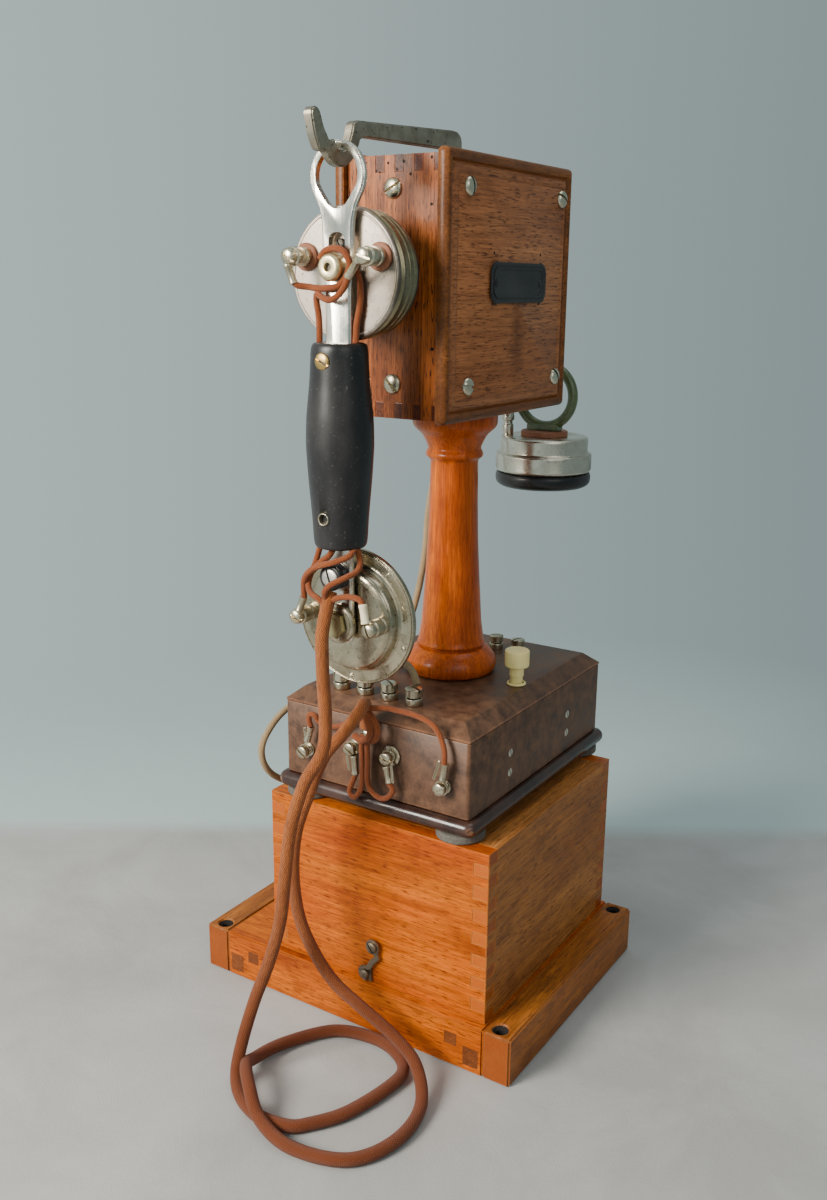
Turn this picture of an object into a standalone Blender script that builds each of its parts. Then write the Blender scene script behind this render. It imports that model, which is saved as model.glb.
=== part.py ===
"""Desk telephone of about 1910 on a wooden battery box, as separate pieces.

Metres, +Z up. The origin is the middle of the plinth's underside. The case's
front panel with the nameplate faces -Y. The handset hangs on its switch hook
on the -X side, and a second receiver hangs on the +X side.
"""

from math import cos, pi, radians, sin

import bmesh
import bpy
from mathutils import Matrix, Vector

# Clearance and sheet
GAP = 0.0003                 # between pieces that touch
LEAF_HALF = 0.0004           # half the thickness of a contact leaf

# Battery box
PLINTH_X = 0.0813            # half widths
PLINTH_Y = 0.10625
PLINTH_TOP = 0.0289
COVER_X = 0.0764
COVER_Y = 0.0722
COVER_MID_Y = -0.0159
COVER_TOP = 0.1294
COVER_WALL = 0.009
SCREW_HOLE_X = 0.0745
SCREW_HOLE_Y = 0.0970
CELL_RADIUS = 0.0270
CELL_TOP = 0.1080
CELL_X = -0.0360

# Telephone base
MID_X = 0.0068               # the column's axis
MID_Y = -0.0134
BOARD_X = 0.0846
BOARD_Y = 0.0651
BOARD_LOW = 0.1345
BOARD_TOP = 0.1430
CASE_X = 0.0799
CASE_Y = 0.0602
CASE_TOP = 0.1862
CASE_WALL = 0.007
DECK_TOP = 0.1940
DECK_INSET = 0.0080
FOOT_RADIUS = 0.0135
FOOT_X = 0.0708
FOOT_Y = 0.0502
TERMINAL_Z = 0.0095          # height of a deck terminal
TERMINAL_RADIUS = 0.0048

# Column and upper case
COLUMN_TOP = 0.3462
BORE = 0.0048
BOX_X = 0.0640
BOX_FRONT = -0.0412
BOX_BACK = 0.0132
BOX_LOW = 0.3465
BOX_TOP = 0.4733
BOX_WALL = 0.008
PANEL_X = 0.0678
PANEL_LOW = 0.3450
PANEL_TOP = 0.4758
PANEL_THICK = 0.0061

# Handset and its hook
HAND_Y = -0.0122             # the plane of the hook and of the handset's axis
LEVER_X = 0.0036             # the lever's pivot
LEVER_Z = 0.4435
LEVER_THICK = 0.0050
STRIP_FRONT = -0.1015
STRIP_THICK = 0.0035
RING_Z = 0.4605
RING_OUT = 0.0157
RING_IN = 0.0119
STRIP_HALF = 0.0074
HANDLE_X = -0.0998
HANDLE_LOW = 0.2868
HANDLE_TOP = 0.3860
RECEIVER_Z = 0.4172
TRANSMITTER_Z = 0.2480
PLATE_X = -0.0960            # outer faces of the two capsules

# Second receiver
AUX_X = 0.1000
AUX_Y = -0.0228
AUX_TOP = 0.3227
AUX_RING_Z = 0.3470
AUX_RING = 0.0184            # centre line of the ring magnet
AUX_RING_ROD = 0.0031

# Call button
BUTTON_X = 0.0035
BUTTON_Y = -0.0590
BUTTON_BORE = 0.0042

# Latches
LATCH_Y = -0.0167
LATCH_Z = 0.0531
STUD_Y = -0.0118
STUD_Z = 0.0348

# Cords
MAIN_CORD = 0.0068
THIN_CORD = 0.0040


def clear_scene():
    for obj in list(bpy.data.objects):
        bpy.data.objects.remove(obj, do_unlink=True)


MATERIALS = {
    "oak": ((0.46, 0.19, 0.055), 0.35, 0.0),
    "walnut": ((0.20, 0.095, 0.045), 0.45, 0.0),
    "mahogany": ((0.38, 0.13, 0.05), 0.30, 0.0),
    "turned_wood": ((0.50, 0.17, 0.04), 0.22, 0.0),
    "brown_paint": ((0.075, 0.035, 0.025), 0.50, 0.0),
    "ebony": ((0.020, 0.012, 0.012), 0.25, 0.0),
    "ebonite": ((0.016, 0.016, 0.018), 0.35, 0.0),
    "nickel": ((0.62, 0.58, 0.52), 0.28, 1.0),
    "worn_nickel": ((0.36, 0.33, 0.29), 0.42, 1.0),
    "brass": ((0.60, 0.44, 0.20), 0.35, 1.0),
    "iron": ((0.16, 0.15, 0.14), 0.55, 1.0),
    "green_magnet": ((0.10, 0.16, 0.08), 0.40, 0.0),
    "ivory": ((0.80, 0.72, 0.50), 0.35, 0.0),
    "copper": ((0.60, 0.26, 0.14), 0.35, 1.0),
    "zinc_can": ((0.45, 0.46, 0.47), 0.50, 1.0),
    "carbon": ((0.03, 0.03, 0.03), 0.70, 0.0),
    "brown_braid": ((0.36, 0.13, 0.045), 0.85, 0.0),
    "beige_braid": ((0.46, 0.36, 0.24), 0.85, 0.0),
    "grey_felt": ((0.16, 0.15, 0.13), 0.90, 0.0),
}


def material(slot):
    found = bpy.data.materials.get(slot)
    if found:
        return found
    color, rough, metal = MATERIALS[slot]
    made = bpy.data.materials.new(slot)
    made.use_nodes = True
    shader = made.node_tree.nodes["Principled BSDF"]
    shader.inputs["Base Color"].default_value = (*color, 1.0)
    shader.inputs["Roughness"].default_value = rough
    shader.inputs["Metallic"].default_value = metal
    return made


def add(name, bm, slot, at=(0, 0, 0), smooth=True):
    """Makes an object of the bmesh, whose vertices are relative to the point at."""
    bmesh.ops.recalc_face_normals(bm, faces=bm.faces)
    mesh = bpy.data.meshes.new(name)
    bm.to_mesh(mesh)
    bm.free()
    if smooth:
        mesh.shade_smooth()
        mesh.set_sharp_from_angle(angle=radians(35))
    obj = bpy.data.objects.new(name, mesh)
    obj.location = at
    mesh.materials.append(material(slot))
    bpy.context.scene.collection.objects.link(obj)
    return obj


def box_mesh(low, high, bevel=0.0):
    bm = bmesh.new()
    size = [b - a for a, b in zip(low, high)]
    middle = [(a + b) / 2 for a, b in zip(low, high)]
    place = Matrix.Translation(middle) @ Matrix.Diagonal((*size, 1))
    bmesh.ops.create_cube(bm, size=1, matrix=place)
    if bevel:
        bmesh.ops.bevel(bm, geom=bm.edges[:], offset=bevel, segments=1, affect="EDGES")
    return bm


def turned_mesh(profile, segments=24, closed=False):
    """Turns (radius, height) points about Z. A closed profile makes a ring."""
    bm = bmesh.new()
    rings = []
    for radius, height in profile:
        if radius < 1e-6:
            rings.append([bm.verts.new((0, 0, height))])
            continue
        turns = [2 * pi * i / segments for i in range(segments)]
        rings.append([bm.verts.new((radius * cos(t), radius * sin(t), height)) for t in turns])
    pairs = list(zip(rings, rings[1:]))
    if closed:
        pairs.append((rings[-1], rings[0]))
    for a, b in pairs:
        for i in range(segments):
            j = (i + 1) % segments
            corners = [a[i % len(a)], a[j % len(a)], b[j % len(b)], b[i % len(b)]]
            bm.faces.new(list(dict.fromkeys(corners)))
    return bm


def along_x(bm):
    """Turns a shape's +Z towards -X."""
    bmesh.ops.rotate(bm, verts=bm.verts, matrix=Matrix.Rotation(-pi / 2, 3, "Y"))
    return bm


def turned_x(name, profile, slot, at, segments=24, closed=False):
    """A turned piece whose heights run out towards -X from the point at."""
    return add(name, along_x(turned_mesh(profile, segments, closed)), slot, at)


def sweep_mesh(points, radii, segments=10, closed=False):
    """A round rod through the points, with a radius at each of them."""
    bm = bmesh.new()
    points = [Vector(p) for p in points]
    count = len(points)
    side = None
    rings = []
    for i, point in enumerate(points):
        before = points[(i - 1) % count] if closed else points[max(i - 1, 0)]
        after = points[(i + 1) % count] if closed else points[min(i + 1, count - 1)]
        tangent = (after - before).normalized()
        if side is None:
            side = tangent.orthogonal().normalized()
        side = (side - tangent * side.dot(tangent)).normalized()
        other = tangent.cross(side)
        ring = []
        for k in range(segments):
            turn = 2 * pi * k / segments
            ring.append(bm.verts.new(point + radii[i] * (side * cos(turn) + other * sin(turn))))
        rings.append(ring)
    pairs = list(zip(rings, rings[1:]))
    if closed:
        pairs.append((rings[-1], rings[0]))
    for a, b in pairs:
        for k in range(segments):
            j = (k + 1) % segments
            bm.faces.new((a[k], a[j], b[j], b[k]))
    if not closed:
        bm.faces.new(rings[0])
        bm.faces.new(rings[-1])
    return bm


def outline_mesh(outline, plane, low, high, bevel=0.0):
    """Extrudes an outline: plane "yz" along X, "xz" along Y, "xy" along Z."""
    bm = bmesh.new()
    places = {
        "yz": lambda a, b, h: (h, a, b),
        "xz": lambda a, b, h: (a, h, b),
        "xy": lambda a, b, h: (a, b, h),
    }
    place = places[plane]
    face = bm.faces.new([bm.verts.new(place(a, b, low)) for a, b in outline])
    grown = bmesh.ops.extrude_face_region(bm, geom=[face])
    shift = Vector(place(0, 0, high - low))
    moved = [v for v in grown["geom"] if isinstance(v, bmesh.types.BMVert)]
    bmesh.ops.translate(bm, verts=moved, vec=shift)
    if bevel:
        ends = [e for e in bm.edges if abs((e.verts[0].co - e.verts[1].co).dot(shift)) < 1e-12]
        bmesh.ops.bevel(bm, geom=ends, offset=bevel, segments=1, affect="EDGES")
    return bm


def arc(centre, radius, start, end, steps):
    """Points along an arc, from one angle to another, in degrees."""
    turns = [radians(start + (end - start) * i / steps) for i in range(steps + 1)]
    return [(centre[0] + radius * cos(t), centre[1] + radius * sin(t)) for t in turns]


def rounded_rectangle(half_a, half_b, radius, steps=3, centre=(0, 0)):
    points = []
    for a, b, start in ((1, 1, 0), (-1, 1, 90), (-1, -1, 180), (1, -1, 270)):
        middle = (centre[0] + a * (half_a - radius), centre[1] + b * (half_b - radius))
        points += arc(middle, radius, start, start + 90, steps)
    return points


def ribbon(centre_line, half_widths):
    """The outline of a flat bar that follows a line and changes width."""
    left, right = [], []
    last = len(centre_line) - 1
    for i, (point, half) in enumerate(zip(centre_line, half_widths)):
        before = Vector(centre_line[max(i - 1, 0)])
        after = Vector(centre_line[min(i + 1, last)])
        run = (after - before).normalized()
        across = Vector((-run.y, run.x)) * half
        left.append(tuple(Vector(point) + across))
        right.append(tuple(Vector(point) - across))
    return left + right[::-1]


def smooth_line(points, steps):
    """A Catmull-Rom curve through the points, with steps points on each span."""
    points = [Vector(p) for p in points]
    padded = [2 * points[0] - points[1], *points, 2 * points[-1] - points[-2]]
    made = []
    for i in range(len(points) - 1):
        a, b, c, d = padded[i:i + 4]
        for k in range(steps):
            t = k / steps
            made.append(0.5 * (2 * b + (c - a) * t + (2 * a - 5 * b + 4 * c - d) * t ** 2
                               + (3 * b - a - 3 * c + d) * t ** 3))
    return made + [points[-1]]


def evenly(points, step):
    """Points about one step apart along a fine polyline."""
    lengths = [(b - a).length for a, b in zip(points, points[1:])]
    total = sum(lengths)
    count = max(2, round(total / step))
    made, walked, index = [points[0]], 0.0, 0
    for k in range(1, count):
        target = total * k / count
        while walked + lengths[index] < target:
            walked += lengths[index]
            index += 1
        made.append(points[index].lerp(points[index + 1], (target - walked) / lengths[index]))
    return made + [points[-1]]


def cut(obj, cutter):
    cutter.hide_render = True
    cutter.display_type = "WIRE"
    modifier = obj.modifiers.new("cut", "BOOLEAN")
    modifier.operation = "DIFFERENCE"
    modifier.solver = "EXACT"
    modifier.object = cutter


def join(obj, other):
    """Unites two overlapping shapes into one body."""
    cut(obj, other)
    obj.modifiers[-1].operation = "UNION"


def frame_mesh(low, high, wall):
    """Four walls around a hollow that is open along Z."""
    bm = bmesh.new()
    rings = []
    for shrink, height in ((0, low[2]), (0, high[2]), (wall, high[2]), (wall, low[2])):
        corners = [(low[0] + shrink, low[1] + shrink), (high[0] - shrink, low[1] + shrink),
                   (high[0] - shrink, high[1] - shrink), (low[0] + shrink, high[1] - shrink)]
        rings.append([bm.verts.new((x, y, height)) for x, y in corners])
    for a, b in zip(rings, rings[1:] + rings[:1]):
        for i in range(4):
            j = (i + 1) % 4
            bm.faces.new((a[i], a[j], b[j], b[i]))
    return bm


# ---------------------------------------------------------------- battery box

def plinth():
    """A thick board with a countersunk screw hole near each corner."""
    block = box_mesh((-PLINTH_X, -PLINTH_Y, 0), (PLINTH_X, PLINTH_Y, PLINTH_TOP), 0.0012)
    board = add("plinth", block, "oak")
    shank, head = 0.0026, 0.0054
    hole = [(0, -0.001), (shank, -0.001), (shank, PLINTH_TOP - 0.0026),
            (head, PLINTH_TOP + 0.0002), (head, PLINTH_TOP + 0.002), (0, PLINTH_TOP + 0.002)]
    for x in (-SCREW_HOLE_X, SCREW_HOLE_X):
        for y in (-SCREW_HOLE_Y, SCREW_HOLE_Y):
            cut(board, add("screw_hole_cutter", turned_mesh(hole, 12), "oak", (x, y, 0)))


def battery_cover():
    """A box without a bottom that stands on the plinth."""
    low = PLINTH_TOP + GAP
    front, back = COVER_MID_Y - COVER_Y, COVER_MID_Y + COVER_Y
    block = box_mesh((-COVER_X, front, low), (COVER_X, back, COVER_TOP), 0.0010)
    cover = add("battery_cover", block, "oak")
    inside = box_mesh((-COVER_X + COVER_WALL, front + COVER_WALL, low - 0.01),
                      (COVER_X - COVER_WALL, back - COVER_WALL, COVER_TOP - COVER_WALL))
    cut(cover, add("cover_hollow_cutter", inside, "oak"))


def battery_cells():
    low = PLINTH_TOP + GAP
    rim = CELL_TOP - low
    pitch, cap, post = rim - 0.003, 0.0060, 0.0035
    profile = [(0, 0), (CELL_RADIUS - 0.001, 0), (CELL_RADIUS, 0.001), (CELL_RADIUS, rim),
               (CELL_RADIUS - 0.002, rim), (CELL_RADIUS - 0.002, pitch), (cap, pitch),
               (cap, rim + 0.003), (post, rim + 0.004), (post, rim + 0.009), (0, rim + 0.009)]
    for number, y in enumerate((-0.0475, 0.0155), start=1):
        add(f"battery_cell_{number}", turned_mesh(profile, 14), "zinc_can", (CELL_X, y, low))


def latch():
    """A flat hook on the cover that catches a stud standing on the plinth."""
    wall = -COVER_X
    pivot = Vector((LATCH_Y, LATCH_Z))
    stud = Vector((STUD_Y, STUD_Z))
    catch = arc(stud, 0.0036, 100, -100, 8)
    line = [pivot, (LATCH_Y - 0.0030, LATCH_Z - 0.0060), (STUD_Y - 0.0045, STUD_Z + 0.0085),
            (STUD_Y - 0.0022, STUD_Z + 0.0046), *catch]
    halves = [0.0024, 0.0018, 0.0017, 0.0016] + [0.0014] * len(catch)
    outline = [(y - LATCH_Y, z - LATCH_Z) for y, z in ribbon(line, halves)]
    near, far = 0.0016, 0.0030
    at = (wall, LATCH_Y, LATCH_Z)
    hook = add("latch_hook", outline_mesh(outline, "yz", -far, -near), "iron", at)
    eye = along_x(turned_mesh([(0, near), (0.0045, near), (0.0045, far), (0, far)], 16))
    join(hook, add("latch_eye", eye, "iron", hook.location))
    bore = along_x(turned_mesh([(0, -0.01), (0.0020, -0.01), (0.0020, 0.01), (0, 0.01)], 10))
    cut(hook, add("latch_bore_cutter", bore, "iron", hook.location))

    pin = [(0, GAP), (0.0015, GAP), (0.0015, 0.0034), (0.0034, 0.0034), (0.0032, 0.0044),
           (0.0020, 0.0052), (0, 0.0054)]
    turned_x("latch_pivot_screw", pin, "iron", at, 12)

    bottom = PLINTH_TOP + GAP - STUD_Z
    plate = box_mesh((-0.0012, -0.0034, bottom), (-GAP, 0.0034, 0.0030))
    staple = add("latch_stud", plate, "iron", (wall, STUD_Y, STUD_Z))
    post = along_x(turned_mesh([(0, 0.0006), (0.0017, 0.0006), (0.0017, 0.0034), (0.0027, 0.0036),
                                (0.0022, 0.0046), (0, 0.0048)], 12))
    join(staple, add("latch_stud_post", post, "iron", staple.location))


# ------------------------------------------------------------- telephone base

def feet():
    low = COVER_TOP + GAP
    high = BOARD_LOW - GAP
    profile = [(0, low), (FOOT_RADIUS, low), (FOOT_RADIUS, high - 0.0008),
               (FOOT_RADIUS - 0.0008, high), (0, high)]
    spots = [(x, y) for x in (-FOOT_X, FOOT_X) for y in (-FOOT_Y, FOOT_Y)]
    for number, (x, y) in enumerate(spots, start=1):
        add(f"foot_{number}", turned_mesh(profile, 20), "grey_felt", (MID_X + x, MID_Y + y, 0))


def base_board():
    """The black bottom board, whose edge is a half round."""
    middle = (BOARD_LOW + BOARD_TOP) / 2
    half = (BOARD_TOP - BOARD_LOW) / 2
    bm = bmesh.new()
    rings = []
    for turn in (-90, -50, -15, 15, 50, 90):
        shrink = half * (1 - cos(radians(turn)))
        height = middle + half * sin(radians(turn))
        x, y = BOARD_X - shrink, BOARD_Y - shrink
        corners = rounded_rectangle(x, y, max(0.0060 - shrink, 0.0010), 2, (MID_X, MID_Y))
        rings.append([bm.verts.new((a, b, height)) for a, b in corners])
    for a, b in zip(rings, rings[1:]):
        for i in range(len(a)):
            j = (i + 1) % len(a)
            bm.faces.new((a[i], a[j], b[j], b[i]))
    bm.faces.new(rings[0])
    bm.faces.new(rings[-1])
    add("base_board", bm, "ebony")


def base_case():
    """The four walls of the base."""
    low = (MID_X - CASE_X, MID_Y - CASE_Y, BOARD_TOP + GAP)
    high = (MID_X + CASE_X, MID_Y + CASE_Y, CASE_TOP - GAP)
    add("base_case", frame_mesh(low, high, CASE_WALL), "brown_paint", smooth=False)


def base_deck():
    """The lid of the base: a short upright edge, then a slope up to the flat deck."""
    bm = bmesh.new()
    rings = []
    for shrink, height in ((0, CASE_TOP), (0, CASE_TOP + 0.0012), (DECK_INSET, DECK_TOP)):
        corners = rounded_rectangle(CASE_X - shrink, CASE_Y - shrink, 0.0015, 1, (MID_X, MID_Y))
        rings.append([bm.verts.new((a, b, height)) for a, b in corners])
    for a, b in zip(rings, rings[1:]):
        for i in range(len(a)):
            j = (i + 1) % len(a)
            bm.faces.new((a[i], a[j], b[j], b[i]))
    bm.faces.new(rings[0])
    bm.faces.new(rings[-1])
    deck = add("base_deck", bm, "brown_paint", smooth=False)
    for x, y, radius in ((MID_X, MID_Y, BORE), (BUTTON_X, BUTTON_Y, BUTTON_BORE)):
        hole = turned_mesh([(0, 0.18), (radius, 0.18), (radius, 0.20), (0, 0.20)], 16)
        cut(deck, add("deck_hole_cutter", hole, "ebony", (x, y, 0)))


def induction_coil():
    """A bundle of iron wires as the core, wound between two wooden cheeks."""
    middle = (0.020, 0.0180, 0.1620)
    core = [(0, -0.040), (0.0040, -0.040), (0.0040, 0.040), (0, 0.040)]
    turned_x("coil_core", core, "iron", middle, 12)
    cheek = middle[2] - BOARD_TOP - GAP
    wound = [(0.0043, -0.036), (cheek, -0.036), (cheek, -0.032), (0.0115, -0.032), (0.0115, 0.032),
             (cheek, 0.032), (cheek, 0.036), (0.0043, 0.036)]
    turned_x("coil_winding", wound, "copper", middle, 16, closed=True)


def call_button():
    """The button, the bush its stem slides in, and the leaf spring under the deck."""
    at = (BUTTON_X, BUTTON_Y, 0)
    stem, head, stem_foot = 0.0036, 0.0070, 0.1800
    profile = [(0, stem_foot), (stem, stem_foot), (stem, 0.1992), (0.0042, 0.1994),
               (0.0042, 0.2046), (head - 0.0004, 0.2048), (head, 0.2054), (head, 0.2138),
               (0.0062, 0.2145), (0, 0.2146)]
    add("call_button", turned_mesh(profile, 20), "ivory", at)
    bush_low, bush_top, bore = DECK_TOP + GAP, 0.1957, 0.0041
    bush = [(bore, bush_low), (0.0062, bush_low), (0.0060, bush_top - 0.0004), (bore, bush_top)]
    add("button_bush", turned_mesh(bush, 20, closed=True), "ivory", at)
    ceiling, rest = CASE_TOP - GAP - 0.0005, 0.1762
    leaf = [(-0.0320, ceiling), (-0.0220, ceiling), (-0.0080, rest), (0.0050, rest)]
    strip = outline_mesh(ribbon(leaf, [LEAF_HALF] * len(leaf)), "xz", -0.004, 0.004)
    add("button_spring", strip, "brass", at, smooth=False)


def line_terminals():
    """Five posts on the base's left wall, where the handset cord's leads end."""
    spots = ((0.0440, 0.1600), (0.0117, 0.1693), (0.0005, 0.1795), (-0.0120, 0.1693),
             (-0.0455, 0.1600))
    profile = [(0, GAP), (0.0040, GAP), (0.0040, 0.0014), (0.0026, 0.0018), (0.0026, 0.0046),
               (0.0038, 0.0048), (0.0038, 0.0072), (0.0026, 0.0080), (0, 0.0080)]
    for number, (y, z) in enumerate(spots, start=1):
        at = (MID_X - CASE_X, MID_Y + y, z)
        turned_x(f"line_terminal_{number}", profile, "nickel", at, 12)


def deck_terminals():
    """Two-tier binding screws along the deck's left edge."""
    low = DECK_TOP + GAP
    radius = TERMINAL_RADIUS
    waist, top = radius - 0.0012, TERMINAL_Z
    profile = [(0, 0), (radius, 0), (radius, 0.0038), (waist, 0.0042), (waist, 0.0050),
               (radius, 0.0054), (radius, top - 0.0006), (radius - 0.0006, top), (0, top)]
    spots = [(-0.0575, -0.0290 + 0.0160 * i) for i in range(4)]
    for number, (x, y) in enumerate(spots, start=1):
        add(f"deck_terminal_{number}", turned_mesh(profile, 14), "nickel", (x, y, low))


# ------------------------------------------------------- column and upper case

def column():
    """The turned column with its bored middle, and the iron rod that draws it tight."""
    foot = [(0.0240, DECK_TOP + GAP), (0.0260, 0.1953), (0.0269, 0.1985), (0.0261, 0.2025),
            (0.0236, 0.2062), (0.0208, 0.2090), (0.0190, 0.2100), (0.0195, 0.2116)]
    shaft = [(0.0189, 0.2140), (0.0175, 0.2235), (0.0159, 0.2476), (0.0145, 0.2713),
             (0.0138, 0.2946), (0.0134, 0.3170)]
    bead = [(0.0146, 0.3190), (0.0163, 0.3215), (0.0150, 0.3242)]
    flange = [(0.0160, 0.3280), (0.0185, 0.3325), (0.0228, 0.3365), (0.0240, 0.3385),
              (0.0240, 0.3450), (0.0232, COLUMN_TOP)]
    outside = foot + shaft + bead + flange
    bore = [(BORE, COLUMN_TOP), (BORE, DECK_TOP + GAP)]
    add("column", turned_mesh(outside + bore, 20, closed=True), "turned_wood", (MID_X, MID_Y, 0))
    low, high, nut, rod_radius = 0.1800, 0.3620, 0.0068, 0.0030
    ceiling, seat = CASE_TOP - GAP, BOX_LOW + BOX_WALL + GAP
    rod = [(0, low), (nut, low), (nut, ceiling), (rod_radius, ceiling), (rod_radius, seat),
           (nut, seat), (nut, high - 0.003), (rod_radius, high - 0.002), (rod_radius, high),
           (0, high)]
    add("column_tie_rod", turned_mesh(rod, 12), "iron", (MID_X, MID_Y, 0))


def case_frame():
    """Four glued boards around a hollow that is open to the front and the back."""
    bm = bmesh.new()
    low, high = (MID_X - BOX_X, BOX_LOW), (MID_X + BOX_X, BOX_TOP)
    rings = []
    for shrink, y in ((0, BOX_FRONT), (0, BOX_BACK), (BOX_WALL, BOX_BACK), (BOX_WALL, BOX_FRONT)):
        corners = [(low[0] + shrink, low[1] + shrink), (high[0] - shrink, low[1] + shrink),
                   (high[0] - shrink, high[1] - shrink), (low[0] + shrink, high[1] - shrink)]
        rings.append([bm.verts.new((x, y, z)) for x, z in corners])
    for a, b in zip(rings, rings[1:] + rings[:1]):
        for i in range(4):
            j = (i + 1) % 4
            bm.faces.new((a[i], a[j], b[j], b[i]))
    frame = add("case_frame", bm, "mahogany", smooth=False)
    side = LEVER_THICK / 2 + 0.0011
    slot = box_mesh((LEVER_X - 0.0052, HAND_Y - side, BOX_TOP - 0.02),
                    (LEVER_X + 0.0080, HAND_Y + side, BOX_TOP + 0.01))
    cut(frame, add("lever_slot_cutter", slot, "mahogany"))
    hole = turned_mesh([(0, 0.33), (BORE, 0.33), (BORE, 0.36), (0, 0.36)], 16)
    cut(frame, add("wire_hole_cutter", hole, "mahogany", (MID_X, MID_Y, 0)))


def case_panels():
    """The front and back boards, and the nameplate on the front one."""
    front = BOX_FRONT - GAP
    outline = rounded_rectangle(PANEL_X, (PANEL_TOP - PANEL_LOW) / 2, 0.0030, 2,
                                (MID_X, (PANEL_TOP + PANEL_LOW) / 2))
    low, high = front - PANEL_THICK, front
    add("front_panel", outline_mesh(outline, "xz", low, high, 0.0010), "walnut", smooth=False)
    low, high = BOX_BACK + GAP, BOX_BACK + GAP + PANEL_THICK
    add("back_panel", outline_mesh(outline, "xz", low, high, 0.0010), "walnut", smooth=False)
    plate = rounded_rectangle(0.0305, 0.0102, 0.0068, 4)
    at = (0.0116, front - PANEL_THICK - GAP, 0.4140)
    add("nameplate", outline_mesh(plate, "xz", -0.0011, 0), "iron", at, smooth=False)


# --------------------------------------------------------------- switch hook

def lever_outline():
    """The hook, its long bar, the stem into the case and the tail, about the pivot."""
    tip = [(-0.1159, 0.4868), (-0.1188, 0.4880), (-0.1216, 0.4868), (-0.1224, 0.4850)]
    under_hook = [(-0.1200, 0.4760), (-0.1166, 0.4700), *arc((-0.0998, 0.4772), 0.0131, 215, 285, 4),
                  (-0.0905, 0.4683), (-0.0862, 0.4745), (-0.0850, 0.4775)]
    under_bar = [(-0.0800, 0.4786), (-0.0070, 0.4802), (-0.0018, 0.4790), (0.0002, 0.4760)]
    stem = [(0.0002, 0.4475), (-0.0018, 0.4440), *arc((LEVER_X, LEVER_Z), 0.0056, 175, 275, 4)]
    tail = [(0.0270, 0.4400), (0.0278, 0.4420), (0.0270, 0.4440), (0.0110, 0.4480), (0.0072, 0.4515)]
    over_bar = [(0.0070, 0.4850), (0.0058, 0.4880), (0.0030, 0.4896), (-0.0020, 0.4899),
                (-0.0880, 0.4853), (-0.0908, 0.4840), (-0.0922, 0.4795)]
    seat = [*arc((-0.0995, 0.4768), 0.0056, -20, -170, 5), (-0.1086, 0.4745), (-0.1130, 0.4800)]
    points = tip + under_hook + under_bar + stem + tail + over_bar + seat
    return [(x - LEVER_X, z - LEVER_Z) for x, z in points]


def along_y(bm):
    """Turns a shape's +Z towards -Y."""
    bmesh.ops.rotate(bm, verts=bm.verts, matrix=Matrix.Rotation(pi / 2, 3, "X"))
    return bm


def switch_lever():
    """The flat bar that the handset hangs on, and the pin it turns on."""
    half = LEVER_THICK / 2
    at = (LEVER_X, HAND_Y, LEVER_Z)
    bar = outline_mesh(lever_outline(), "xz", -half, half, 0.0005)
    lever = add("switch_lever", bar, "worn_nickel", at)
    bore = along_y(turned_mesh([(0, -0.01), (0.0024, -0.01), (0.0024, 0.01), (0, 0.01)], 12))
    cut(lever, add("lever_bore_cutter", bore, "iron", at))
    pin = [(0, -0.0086), (0.0032, -0.0086), (0.0032, -0.0070), (0.0020, -0.0070), (0.0020, 0.0086),
           (0, 0.0086)]
    add("lever_pin", along_y(turned_mesh(pin, 12)), "iron", at)


def lever_bracket():
    """A bent plate under the case's top that carries the lever between two cheeks."""
    top = BOX_TOP - BOX_WALL - GAP - LEVER_Z
    outside, inside = 0.0056, 0.0036
    outline = [(-0.0200, -outside), (0.0130, -outside), (0.0130, -inside), (-0.0180, -inside),
               (-0.0180, inside), (0.0130, inside), (0.0130, outside), (-0.0200, outside)]
    at = (LEVER_X, HAND_Y, LEVER_Z)
    bracket = add("lever_bracket", outline_mesh(outline, "xy", -0.0080, top), "iron", at, False)
    bore = along_y(turned_mesh([(0, -0.01), (0.0023, -0.01), (0.0023, 0.01), (0, 0.01)], 12))
    cut(bracket, add("bracket_bore_cutter", bore, "iron", at))


def switch_contacts():
    """An ebonite block on the back panel, with the leaf that the lever's tail works."""
    block = box_mesh((0.0300, HAND_Y - 0.006, 0.4180), (0.0440, BOX_BACK, 0.4260))
    add("contact_block", block, "ebonite", smooth=False)
    leaf = [(0.0430, 0.0), (0.0330, 0.0), (0.0240, 0.0070), (0.0160, 0.0076)]
    strip = outline_mesh(ribbon(leaf, [LEAF_HALF] * len(leaf)), "xz", -0.004, 0.004)
    add("contact_leaf", strip, "brass", (0, HAND_Y, 0.4270), smooth=False)


# -------------------------------------------------------------------- handset

def handset_strip():
    """A flat nickel bar: the hanging ring above, then straight down to the transmitter."""
    foot = TRANSMITTER_Z - 0.0100
    neck = RING_Z - 0.0200
    corner = 0.003
    outline = [(-STRIP_HALF, foot + corner), (-STRIP_HALF + corner, foot),
               (STRIP_HALF - corner, foot), (STRIP_HALF, foot + corner), (STRIP_HALF, neck),
               (0.0100, RING_Z - 0.0130)]
    outline += arc((0, RING_Z), RING_OUT, -35, 215, 14)
    outline += [(-0.0100, RING_Z - 0.0130), (-STRIP_HALF, neck)]
    back = STRIP_FRONT + STRIP_THICK
    at = (0, HAND_Y, 0)
    bar = outline_mesh(outline, "yz", STRIP_FRONT, back, 0.0005)
    strip = add("handset_strip", bar, "nickel", at)
    hole = arc((0, RING_Z), RING_IN, -20, 200, 12)
    hole += [(-0.0050, RING_Z - 0.0128), (0, RING_Z - 0.0147), (0.0050, RING_Z - 0.0128)]
    cutter = outline_mesh(hole, "yz", STRIP_FRONT - 0.01, back + 0.01)
    cut(strip, add("ring_hole_cutter", cutter, "nickel", at))


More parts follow.
